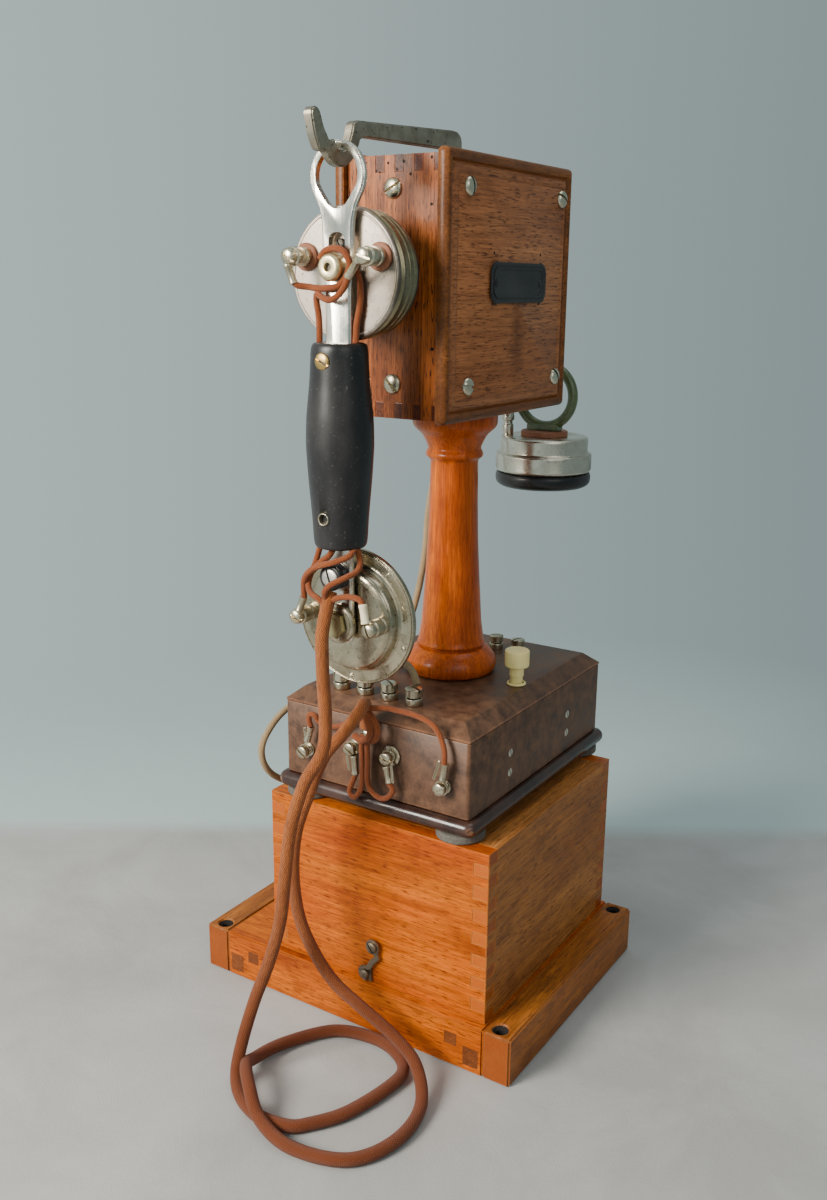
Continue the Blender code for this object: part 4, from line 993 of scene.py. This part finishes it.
def line_terminals():
    """Nickel posts with slotted heads, each clamping a ferrule and held by a split pin."""
    for number, (slot_turn, start, end, pin_start, pin_end) in enumerate(LINE_POSTS, start=1):
        low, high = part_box(f"line_terminal_{number}")
        at = Vector((high.x, (low.y + high.y) / 2, (low.z + high.z) / 2))
        washer = .0056 if number == 4 else .004
        bm = bmesh.new()
        turned(bm, [(0, 0), (washer, 0), (washer, .001), (.0028, .0012), (.0025, .0018),
            (.0025, .0044), (.0033, .0046), (.0033, .0054), (0, .0054)], at, -X, 40, soft=.0002)
        screw(bm, at - X * .0054, -X, .0035, .0024, slot_turn, .4, .0004)
        if start:
            ferrule(bm, (at.x - .0056, *start), (at.x - .0056, *end))
            turned(bm, rod(.004, 0, .0008, .0026), at - X * .0034, -X, 32, closed=True, soft=.0002)
            split_pin(bm, (at.x - .007, *pin_start), (at.x - .007, *pin_end))
        make(f"line_post_{number}", bm, "screw_nickel", stands_for=[f"line_terminal_{number}"])


def two_tier_post(bm, at, radius, tall, slot_turn):
    turned(bm, [(0, 0), (radius, 0), (radius, .0036), (radius - .0008, .004),
        (radius - .0014, .0041), (radius - .0014, .0052), (0, .0052)], at, segments=40, soft=.0003)
    screw(bm, at + Z * .0052, Z, radius, tall - .0052, slot_turn, .15, .0004)


def deck_terminals():
    for number, turn in enumerate((-20, -35, 10, 60), start=1):
        low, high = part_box(f"deck_terminal_{number}")
        at = Vector(((low.x + high.x) / 2, (low.y + high.y) / 2, low.z))
        bm = bmesh.new()
        two_tier_post(bm, at, (high.x - low.x) / 2, high.z - low.z, turn)
        make(f"binding_screw_{number}", bm, "screw_nickel", stands_for=[f"deck_terminal_{number}"])
    bm = bmesh.new()
    for y, turn in ((-.017, 25), (-.032, 70)):
        two_tier_post(bm, Vector((.056, y, DECK_HIGH.z + .0001)), .0043, .0088, turn)
    make("rear_binding_screws", bm, "screw_nickel")


# --------------------------------------------------- column and upper case

def column():
    profile = [(.024, .1943), (.0258, .1953), (.0269, .1985), (.0261, .2025), (.0236, .2062),
        (.021, .2086), (.02, .2092), (.0178, .2096), (.0178, .2107), (.0198, .211), (.0196, .212),
        (.0189, .214), (.0175, .2235), (.0159, .2476), (.0145, .2713), (.0138, .2946),
        (.0134, .317), (.0136, .318), (.0146, .319), (.0161, .3203), (.0163, .3218), (.015, .3242),
        (.0149, .325), (.016, .328), (.0185, .3325), (.0228, .3362), (.0239, .3385), (.024, .344),
        (.0236, .3457), (.023, .3462)]
    bore = [(.0048, .3462), (.0048, .1943)]
    bm = bmesh.new()
    smooth = [Vector(p) for p in softened(profile, .0014, steps=3)]
    turned(bm, smooth + [Vector(p) for p in bore], (MIDDLE.x, MIDDLE.y, 0), segments=96,
        closed=True)
    make("turned_column", bm, "turned_wood", stands_for=["column"], sharp=50)


def case_teeth():
    """Where the top's and bottom's fingers come through the case's side walls, in Y."""
    first = CASE_LOW.y - .0013
    spans = [(first + .0113 * i, first + .0113 * i + .005) for i in range(5)]
    return [(max(a, CASE_LOW.y + .00001), min(b, CASE_HIGH.y)) for a, b in spans]


def upper_case():
    """Four finger-jointed boards, with the slot for the switch lever in the top one."""
    low, high, wall = CASE_LOW, CASE_HIGH, .008
    teeth = case_teeth()
    for name, x0, x1 in (("left", low.x, low.x + wall), ("right", high.x - wall, high.x)):
        outline = []
        for sign, edge in ((1, high.z), (-1, low.z)):
            run = comb(low.y, high.y, teeth, wall)
            run = run if sign > 0 else run[::-1]
            outline += [(y, edge - sign * depth) for y, depth in run]
        make(f"case_{name}_wall", drawn(slab, outline, "yz", x0, x1, .00025), "mahogany_z",
            stands_for=["case_frame"] if name == "left" else ())
    for name, z0, z1 in (("top", high.z - wall, high.z), ("bottom", low.z, low.z + wall)):
        outline = []
        for sign, edge in ((1, high.x), (-1, low.x)):
            run = comb(low.y, high.y, teeth, wall)
            run = run if sign > 0 else run[::-1]
            outline += [(edge - sign * (wall - depth) - sign * .00006, y) for y, depth in run]
        board = make(f"case_{name}_board", drawn(slab, outline, "xy", z0, z1, .0002), "mahogany_x")
        cutter = bmesh.new()
        if name == "top":
            block(cutter, (-.0016, HAND_Y - .0036, z0 - .01), (.0116, HAND_Y + .0036, z1 + .01), 0)
        else:
            turned(cutter, rod(.0048, z0 - .01, z1 + .01), (MIDDLE.x, MIDDLE.y, 0), segments=32)
        carve(board, cutter)
    bm = bmesh.new()
    for z, turn in ((.458, -60), (.364, 45)):
        screw(bm, (low.x, -.014, z), -X, .005, .0026, turn, .75)
    make("wall_screws", bm, "screw_nickel")
    bm = bmesh.new()
    holes = [(-.036, .4712, .9), (-.024, .464, .8), (-.02, .47, .8), (.003, .464, .8),
        (-.016, .4664, .6), (-.011, .4696, .8), (-.006, .4655, .5), (.002, .4702, .5),
        (-.0362, .45, .8), (-.0375, .382, 1.0), (-.024, .3905, .5), (-.011, .389, .6),
        (-.004, .4662, .6)]
    for y, z, size in holes:
        radius = size * .0009
        turned(bm, [(0, .00002), (radius, .00002), (0, .00006)], (low.x, y, z), -X, 12)
    make("worm_holes", bm, "dark_hole")


def panel(name, node, front):
    """A case panel: a rounded bead round its edge, a groove and a flat field."""
    low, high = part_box(node)
    half_x, half_z = (high.x - low.x) / 2, (high.z - low.z) / 2
    centre = (low.x + half_x, low.z + half_z)
    thick = high.y - low.y
    face, out = (low.y, 1) if front else (high.y, -1)

    def ring(inset, depth, radius=.003):
        corners = rounded_rectangle(half_x - inset, half_z - inset, max(radius - inset, .0004), 4,
            centre)
        return [Vector((a, face + out * depth, b)) for a, b in corners]

    bead = [(.0006, thick), (.0001, thick - .0007), (0, .0034), (.0003, .0018), (.0011, .0007),
        (.0024, .0001), (.0036, .0001), (.0046, .0006), (.0052, .0015), (.0055, .0024),
        (.0058, .0026), (.0058, thick)]
    make(f"{name}_bead", skin([ring(*spot) for spot in bead], closed=True), "amber_bead",
        stands_for=[node], sharp=50)
    field = [(.00585, thick - .0001), (.00585, .0026), (.0062, .0024), (.0066, .0016),
        (.0078, .001), (.0092, .0008), (.0106, .0008), (.011, .0012), (.0114, .0012),
        (.0118, .0007)]
    make(f"{name}_board", skin([ring(*spot) for spot in field]), "walnut", sharp=50)
    bm = bmesh.new()
    flat = face + out * .0007
    for x, z, turn in ((-.04, .459, 10), (.061, .459, 60), (-.0385, .363, 80), (.06, .3625, 30)):
        screw(bm, (x, flat, z), -Y * out, .0048, .0031, turn, .85)
    make(f"{name}_screws", bm, "dome_nickel")


def nameplate():
    """A blank plate with a raised rim, a scoop at each corner and two rivets."""
    low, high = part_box("nameplate")
    half_x, half_z = (high.x - low.x) / 2, (high.z - low.z) / 2
    cx, cz = (low.x + high.x) / 2, (low.z + high.z) / 2

    def outline(inset):
        points = []
        for a, b, start in ((1, 1, 0), (-1, 1, 90), (-1, -1, 180), (1, -1, 270)):
            scoop = (cx + a * (half_x - inset - .0052), cz + b * (half_z - inset - .0052))
            points += arc(scoop, .0052, start, start + 90, 6)
        return points

    depths = [(.0003, high.y), (0, high.y - .0003), (0, low.y + .0003), (.0003, low.y),
        (.0012, low.y), (.0015, low.y + .0004), (.0018, low.y + .0005)]
    bm = skin([[Vector((a, y, b)) for a, b in outline(inset)] for inset, y in depths])
    ridge = rounded_rectangle(half_x - .003, half_z - .003, .005, 8, (cx, cz))
    tube(bm, [(a, low.y + .0005, b) for a, b in ridge + ridge[:2]], .00055, 8)
    for a in (-1, 1):
        for b in (-1, 1):
            spot = (cx + a * (half_x - .0062), high.y, cz + b * (half_z - .0009))
            turned(bm, [(0, 0), (.0015, 0), (.0015, .0008), (0, .0009)], spot, -Y, 16, soft=.0002)
        spot = (cx + a * (half_x - .0065), low.y + .0005, cz)
        turned(bm, [(0, -.0002), (.0021, -.0002), (.0019, .0004), (.001, .0009), (0, .001)], spot,
            -Y, 24)
    make("blank_plate", bm, "black_plate", stands_for=["nameplate"])
    bm = bmesh.new()
    for x, z in ((-.0136, .4286), (.0381, .4289), (-.0143, .4034), (.0378, .403)):
        turned(bm, [(0, .00002), (.0008, .00002), (0, .00008)], (x, FRONT_LOW.y + .0007, z), -Y, 12)
    make("nail_holes", bm, "dark_hole")


# -------------------------------------------------------------- switch hook

def switch_lever():
    pivot = (.0036, .4435)
    tip = [(-.1159, .4868), (-.1188, .488), (-.1216, .4868), (-.1224, .485)]
    under_hook = [(-.12, .476), (-.1166, .47), *arc((-.0998, .4772), .0131, 215, 285, 8),
        (-.0905, .4683), (-.0862, .4745), (-.085, .4775)]
    under_bar = [(-.08, .4786), (-.007, .4802), (-.0018, .479), (.0002, .476)]
    stem = [(.0002, .4475), (-.0018, .444), *arc(pivot, .0056, 175, 275, 8)]
    tail = [(.027, .44), (.0278, .442), (.027, .444), (.011, .448), (.0072, .4515)]
    over_bar = [(.007, .485), (.0058, .488), (.003, .4896), (-.002, .4899), (-.088, .4853),
        (-.0908, .484), (-.0922, .4795)]
    seat = [*arc((-.0995, .4768), .0056, -20, -170, 8), (-.1086, .4745), (-.113, .48)]
    outline = softened(tip + under_hook + under_bar + stem + tail + over_bar + seat, .0012, True)
    lever = make("hook_lever", drawn(slab, outline, "xz", HAND_Y - .0025, HAND_Y + .0025, .0007, 3),
        "old_nickel", "switch_lever", ["switch_lever"])
    carve(lever, drawn(turned, rod(.0024, -.01, .01), (pivot[0], HAND_Y, pivot[1]), Y, 32))


# ------------------------------------------------------------------ handset

STRIP_FRONT, STRIP_BACK = STRIP_LOW.x, STRIP_HIGH.x
PLATE_X, RECEIVER_Z, TRANSMITTER_Z = -.096, .4172, .248


def handset_bar():
    """The flat bar, with the hanging ring at its top and a slot behind the nut."""
    ring_z, half = .4605, .0074
    foot, neck = STRIP_LOW.z, ring_z - .02
    outline = [(-half, foot), (half, foot), (half, .411), (.0086, .421), (.0088, neck),
        (.0106, ring_z - .013)]
    outline += arc((0, ring_z), .0157, -35, 215, 36)
    outline += [(-.0106, ring_z - .013), (-.0088, neck), (-.0086, .421), (-half, .411)]
    outline = [(y + HAND_Y, z) for y, z in softened(outline, .003, True)]
    bar = make("hanging_bar", drawn(slab, outline, "yz", STRIP_FRONT, STRIP_BACK, .0007, 3),
        "bright_nickel", "handset", ["handset_strip"])
    hole = arc((0, ring_z), .0119, -20, 200, 32)
    hole += [(-.005, ring_z - .0128), (0, ring_z - .0147), (.005, ring_z - .0128)]
    hole = [(y + HAND_Y, z) for y, z in softened(hole, .003, True)]
    cutter = bmesh.new()
    slab(cutter, hole, "yz", STRIP_FRONT - .01, STRIP_BACK + .01, 0)
    slab(cutter, [(HAND_Y + y, z) for y, z in rounded_rectangle(.0046, .0057, .004, 6, (0, .43))],
        "yz", STRIP_FRONT - .01, STRIP_BACK + .01, 0)
    carve(bar, cutter)
    bevel = bar.modifiers.new("soft edges", "BEVEL")
    bevel.width = .0005
    bevel.segments = 2
    bevel.limit_method = "ANGLE"
    bevel.angle_limit = radians(60)


def handle():
    tall = HANDLE_HIGH.z - HANDLE_LOW.z
    at = ((HANDLE_LOW.x + HANDLE_HIGH.x) / 2, HAND_Y, HANDLE_LOW.z)
    profile = [(0, 0), (.0112, 0), (.0128, .0012), (.0134, .004), (.0139, .014), (.0158, .036),
        (.0167, .051), (.0163, .064), (.0146, .08), (.014, .09), (.0138, tall - .0035),
        (.013, tall - .001), (.0115, tall), (0, tall)]
    grip = make("grip", drawn(turned, softened(profile, .004, steps=5), at, segments=80), "ebonite",
        "handset", ["handset_handle"], sharp=60)
    cutter = bmesh.new()
    block(cutter, (STRIP_FRONT - .0003, HAND_Y - .0077, at[2] - .01),
        (STRIP_BACK + .0003, HAND_Y + .0077, at[2] + tall + .01), 0)
    turned(cutter, rod(.0026, .012, .03), (at[0], HAND_Y, EYELET_Z), -X, 32)
    carve(grip, cutter)
    make("grip_eyelet", drawn(turned, [(.0024, .0105), (.0031, .0105), (.0032, .0144),
        (.0028, .0148), (.0024, .0144)], (at[0], HAND_Y, EYELET_Z), -X, 32, closed=True,
        soft=.0002), "screw_nickel", "handset")
    make("grip_screw", drawn(screw, (at[0] - .0136, HAND_Y, .3777), -X, .004, .0016, 65, .7, .0015),
        "brass", "handset")


def terminal_post(bm, y, z, at_x, reach, slot_turn):
    """A round post with a groove and a slotted head, standing on a capsule's plate."""
    turned(bm, [(0, 0), (.0045, 0), (.0045, .003), (.004, .0034), (.004, .0042), (.0045, .0046),
        (.0045, reach - .0052), (.0036, reach - .0048), (.0036, reach - .0036), (0, reach - .0036)],
        (at_x, y, z), -X, 40, soft=.0002)
    screw(bm, (at_x - reach + .0036, y, z), -X, .0038, .0034, slot_turn, .45, .0004)


def receiver():
    at = (PLATE_X, HAND_Y, RECEIVER_Z)
    plate = [(0, 0), (.0296, 0), (.0304, -.0001), (.031, -.0008), (.031, -.0022), (.0306, -.003),
        (.0292, -.0032), (0, -.003)]
    bm = bmesh.new()
    turned(bm, plate, at, -X, 128, soft=.0003)
    turned(bm, [(.0286, 0), (.029, .0003), (.0296, .0003), (.03, 0)], at, -X, 128)
    make("receiver_plate", bm, "plate_nickel", "handset", ["receiver_case"], sharp=30)
    ring = [(.029, -.0034), (.0298, -.0036), (.0294, -.0044), (.0294, -.0048), (.0305, -.0056),
        (.0308, -.006), (.0308, -.0094), (.0304, -.01), (.0299, -.0104), (.0299, -.0112),
        (.0303, -.0116), (.0303, -.0138), (.0299, -.0142), (.0299, -.015), (.0302, -.0154),
        (.0302, -.0176), (.028, -.0176), (.028, -.0034)]
    make("receiver_ring", drawn(turned, ring, at, -X, 200, closed=True, soft=.0002,
        knurl=(-.0092, -.0061, .0003)), "rim_nickel", "handset")
    cap = [(.005, -.0322), (.005, -.029), (.019, -.0262), (.027, -.0215), (.027, -.018),
        (.0294, -.018), (.0294, -.0196), (.0286, -.0212), (.024, -.027), (.018, -.0335),
        (.012, -.033)]
    make("ear_cap", drawn(turned, cap, at, -X, 96, closed=True, soft=.0009), "ebonite", "handset",
        ["receiver_ear_cap"], sharp=55)
    bm = bmesh.new()
    seat = PLATE_X - STRIP_FRONT
    turned(bm, [(.0018, seat + .0003), (.0063, seat + .0003), (.0063, .0112), (.0055, .0126),
        (.0046, .013), (.002, .013), (.0018, .012)], (PLATE_X, HAND_Y, NUT_Z), -X, 48, closed=True,
        soft=.0004)
    make("clamp_nut", bm, "cream_nut", "handset", ["receiver_clamp_nut"])
    bm = bmesh.new()
    hexagon = arc((HAND_Y, NUT_Z), .003, 0, 300, 5)
    turned(bm, rod(.0018, .0006, .0108), (PLATE_X, HAND_Y, NUT_Z), -X, 24)
    slab(bm, hexagon, "yz", PLATE_X - .0002, PLATE_X + .0004, 0)
    screw(bm, (STRIP_BACK + .0004, HAND_Y, .4306), -X, .0026, .0022, 30, shank=.001)
    make("clamp_stud", bm, "iron", "handset")
    posts, washers = bmesh.new(), bmesh.new()
    for y, turn in ((HAND_Y + .0213, 50), (HAND_Y - .0213, 70)):
        terminal_post(posts, y, POST_Z, PLATE_X - .0019, .015, turn)
        turned(washers, [(0, 0), (.0063, 0), (.0065, .0004), (.0065, .0015), (.006, .0019),
            (0, .0019)], (PLATE_X, y, POST_Z), -X, 40)
    ferrule(posts, (-.1105, .01, .4215), (-.1085, .0078, .4128))
    ferrule(posts, (-.11, -.031, .4236), (-.1062, -.0222, .416))
    make("receiver_posts", posts, "screw_nickel", "handset")
    make("receiver_washers", washers, "fibre", "handset")


def transmitter():
    at = (PLATE_X, HAND_Y, TRANSMITTER_Z)
    shell = [(0, 0), (.0225, 0), (.0244, -.0004), (.0256, -.001), (.026, -.0016), (.0262, -.002),
        (.0268, -.0026), (.0274, -.005), (.0278, -.0064), (.0288, -.0074), (.03, -.0077),
        (.0344, -.0078), (.0346, -.0083), (.0349, -.0083), (.035, -.0078), (.0354, -.0078),
        (.0358, -.0082), (.0358, -.0104), (.0355, -.0108), (.031, -.0112), (.0262, -.0125),
        (.0262, -.018), (.0245, -.018), (.0245, -.002), (0, -.002)]
    make("transmitter_shell", drawn(turned, softened(shell, .0003), at, -X, 160), "nickel_dark_reflection",
        "handset", ["transmitter_case"], sharp=50)
    horn = [(.011, -.0185), (.024, -.0183), (.0262, -.0183), (.0262, -.02), (.019, -.022),
        (.014, -.0262), (.0152, -.032), (.014, -.0325), (.0118, -.027)]
    make("horn", drawn(turned, horn, at, -X, 96, closed=True, soft=.0016), "ebonite", "handset",
        ["mouthpiece"], sharp=60)
    seat = PLATE_X - STRIP_FRONT + .0003
    make("clamp_boss", drawn(turned, [(0, seat), (.0104, seat), (.0104, .0076), (.0098, .0082),
        (.0092, .0084), (.0088, .0086), (.0088, .0092), (0, .0092)], at, -X, 64, soft=.0003),
        "nickel_dark_reflection", "handset", ["transmitter_clamp_nut"])
    bm = bmesh.new()
    hexagon = arc((HAND_Y, TRANSMITTER_Z), .0074, 15, 315, 5)
    slab(bm, hexagon, "yz", PLATE_X - .0116, PLATE_X - .0093, .0006, 2)
    turned(bm, [(0, .009), (.004, .009), (.004, .0117), (.0034, .0118), (0, .0118)], at, -X, 32)
    make("clamp_hexagon", bm, "old_brass", "handset")
    make("cleat", drawn(turned, [(0, seat), (.0066, seat), (.0066, .0072), (.0052, .0086),
        (.005, .0095), (.0052, .0104), (.0066, .0118), (.0066, .0128), (.0056, .0134), (0, .0134)],
        (PLATE_X, HAND_Y, CLEAT_Z), -X, 48, soft=.0004), "ebonite", "handset", ["cord_cleat"])
    make("cleat_screw", drawn(screw, (PLATE_X - .0128, HAND_Y, CLEAT_Z), -X, .0047, .0016, 20, .5,
        .001), "pale_screw", "handset")
    posts = bmesh.new()
    for y, turn in ((HAND_Y + .0225, 70), (HAND_Y - .0225, 20)):
        terminal_post(posts, y, .249, PLATE_X + .0004, .015, turn)
    ferrule(posts, (-.1095, .0075, .252), (-.1082, .0052, .26))
    for turn in range(58, 418, 72):
        y = HAND_Y + .0324 * cos(radians(turn))
        z = TRANSMITTER_Z + .0324 * sin(radians(turn))
        screw(posts, (PLATE_X + .0078, y, z), -X, .0013, .0009, turn, .6, .0006)
    make("transmitter_posts", posts, "screw_nickel", "handset")
    bm = bmesh.new()
    ferrule(bm, (-.109, -.0318, .2622), (-.11, -.0342, .253), .002)
    make("pale_ferrule", bm, "thread", "handset")


# ----------------------------------------------------------- second receiver

def second_receiver():
    low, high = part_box("second_receiver_case")
    at = Vector(((low.x + high.x) / 2, (low.y + high.y) / 2, high.z))
    shell = [(0, 0), (.0245, 0), (.0262, -.0004), (.0271, -.001), (.0273, -.002), (.0273, -.0094),
        (.0278, -.01), (.0292, -.0104), (.0298, -.0112), (.0298, -.02), (.0294, -.0208),
        (.0284, -.0218), (.027, -.0218), (.026, -.011), (.0258, -.002), (0, -.002)]
    make("second_shell", drawn(turned, softened(shell, .0004), at, Z, 180,
        knurl=(-.0196, -.0116, .0003)), "nickel", "second_receiver", ["second_receiver_case"])
    cap = [(.005, -.0285), (.005, -.0262), (.024, -.024), (.0268, -.0222), (.029, -.0222),
        (.0298, -.025), (.0292, -.029), (.026, -.0311), (.015, -.03)]
    make("second_cap", drawn(turned, cap, at, Z, 96, closed=True, soft=.0014), "ebonite",
        "second_receiver", ["second_receiver_cap"], sharp=55)
    ring_z, ring_radius, rod = .347, .0184, .0031
    rings = []
    for i in range(64):
        turn = 2 * pi * i / 64
        out = Y * cos(turn) + Z * sin(turn)
        middle = Vector((at.x, at.y, ring_z)) + ring_radius * out
        rings.append([middle + rod * (out * cos(2 * pi * k / 16) + X * sin(2 * pi * k / 16))
            for k in range(16)])
    bm = skin(rings, closed=True)
    block(bm, (at.x - .0045, at.y - .0105, at.z + .0032),
        (at.x + .0045, at.y + .0105, at.z + .0073), .0008, 3)
    make("magnet_ring", bm, "olive", "second_receiver", ["ring_magnet"])
    make("fibre_disc", drawn(turned, [(0, .0002), (.0145, .0002), (.0145, .0028), (.014, .0032),
        (0, .0032)], at, Z, 48), "fibre", "second_receiver")
    bm = bmesh.new()
    post = Vector((.0925, -.001, at.z))
    turned(bm, [(0, 0), (.0036, 0), (.0036, .006), (.003, .0064), (.003, .0086), (.004, .009),
        (.004, .012), (0, .012)], post, Z, 32, soft=.0002)
    screw(bm, post + Z * .012, Z, .0036, .002, 30)
    make("second_post", bm, "nickel", "second_receiver")
    low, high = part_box("receiver_hook")
    wall, hook_y = low.x, (low.y + high.y) / 2
    route = [(wall + .0016, .3645), (.08, .364), (.09, .3618), (.0965, .3601), (.1025, .3599),
        (.1055, .362), (.109, .3655), (.1118, .3686)]
    bm = bmesh.new()
    line = smooth_line([(x, hook_y, z) for x, z in route], 6)
    tube(bm, line, .0024, 20)
    turned(bm, [(0, -.0012), (.002, -.0008), (.0024, 0), (.002, .0008), (0, .0012)], line[-1],
        line[-1] - line[-2], 20)
    turned(bm, [(0, 0), (.0085, 0), (.0085, .001), (.0078, .0018), (.0034, .003), (.0024, .004),
        (0, .004)], (wall, hook_y, .3645), X, 48, soft=.0004)
    make("wall_hook", bm, "nickel", stands_for=["receiver_hook"])


# -------------------------------------------------------- kept inner pieces

KEPT = {"battery_cell_1": "zinc", "battery_cell_2": "zinc", "coil_core": "iron",
    "coil_winding": "copper", "column_tie_rod": "iron", "lever_bracket": "iron",
    "lever_pin": "iron", "contact_block": "ebonite", "contact_leaf": "brass",
    "button_spring": "brass", "receiver_diaphragm": "iron", "receiver_magnet": "iron",
    "carbon_capsule": "carbon", "second_receiver_diaphragm": "iron"}


def paint_kept_nodes():
    for name, paint in KEPT.items():
        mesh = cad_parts[name].data
        mesh.materials.clear()
        mesh.materials.append(PAINTS[paint])


# -------------------------------------------------------------------- stage

def make_stage():
    """A pale cloth that fades out with distance into the pale blue-grey of the room."""
    p = Paint("floor")
    place = p.place(1)
    away = p.node("VectorMath", {0: place, 1: AWAY}, "Value", operation="DOT_PRODUCT")
    cloth = p.noise(p.place(900), detail=3)
    creases = p.noise(p.place(9), detail=5, rough=.6, twist=.4)
    color = p.mix(p.span(creases, .38, .62), (163, 161, 159), (177, 176, 175))
    color = p.mix(p.span(away, .166, .19), color, (178, 194, 194))
    height = p.math("ADD", p.math("MULTIPLY", cloth, .12), creases)
    p.finish(color, .9, normal=p.bump(height, .004, .35), specular=.2)
    far = p.span(p.node("VectorMath", {0: place}, "Value", operation="LENGTH"), *FADE)
    past = p.math("MULTIPLY", far, p.span(away, .17, .40, .25, 1.0))
    far = p.math("MAXIMUM", past, p.span(far, .9, 1.0))
    p.feed(p.shader.inputs["Alpha"], p.math("SUBTRACT", 1.0, far))
    bm = bmesh.new()
    bmesh.ops.create_circle(bm, cap_ends=True, segments=96, radius=FLOOR_RADIUS)
    mesh = bpy.data.meshes.new("floor")
    bm.to_mesh(mesh)
    bm.free()
    mesh.materials.append(p.material)
    floor = put("floor", mesh)

    world = bpy.data.worlds.new("studio")
    world.use_nodes = True
    nodes, links = world.node_tree.nodes, world.node_tree.links
    back = nodes["Background"]
    where = nodes.new("ShaderNodeTexCoord")
    side = nodes.new("ShaderNodeVectorMath")
    side.operation = "DOT_PRODUCT"
    side.inputs[1].default_value = ACROSS
    links.new(where.outputs["Generated"], side.inputs[0])
    spread = nodes.new("ShaderNodeMapRange")
    spread.interpolation_type = "SMOOTHSTEP"
    spread.inputs["From Min"].default_value = -.55
    spread.inputs["From Max"].default_value = .75
    links.new(side.outputs["Value"], spread.inputs["Value"])
    shade = nodes.new("ShaderNodeMix")
    shade.data_type = "RGBA"
    shade.inputs[6].default_value = tone(134, 151, 152)
    shade.inputs[7].default_value = tone(204, 220, 219)
    links.new(spread.outputs["Result"], shade.inputs[0])
    links.new(shade.outputs[2], back.inputs["Color"])
    back.inputs["Strength"].default_value = .95
    bpy.context.scene.world = world


def area_light(name, place, target, size, power, color=(1, 1, 1)):
    data = bpy.data.lights.new(name, "AREA")
    data.shape = "DISK"
    data.size = size
    data.energy = power
    data.color = color
    light = put(name, data)
    turn = (Vector(target) - Vector(place)).to_track_quat("-Z", "Y").to_matrix().to_4x4()
    light.matrix_world = Matrix.Translation(place) @ turn


def make_lights():
    """A big soft window at the camera's left, and two weak fills."""
    middle = (0, 0, .25)
    area_light("window", (-1.18, .42, .84), middle, .6, 33, (1.0, .95, .86))
    area_light("front", (-.9, -1.4, 1.1), middle, 1.2, 5, (1.0, .97, .94))
    area_light("above", (.3, -.3, 1.9), middle, 1.2, 5)


def main():
    make_camera()
    make_paints()
    make_cords()
    plinth()
    battery_cover()
    latch()
    base()
    line_terminals()
    deck_terminals()
    column()
    upper_case()
    panel("front", "front_panel", True)
    panel("back", "back_panel", False)
    nameplate()
    switch_lever()
    handset_bar()
    handle()
    receiver()
    transmitter()
    second_receiver()
    paint_kept_nodes()
    make_stage()
    make_lights()


main()
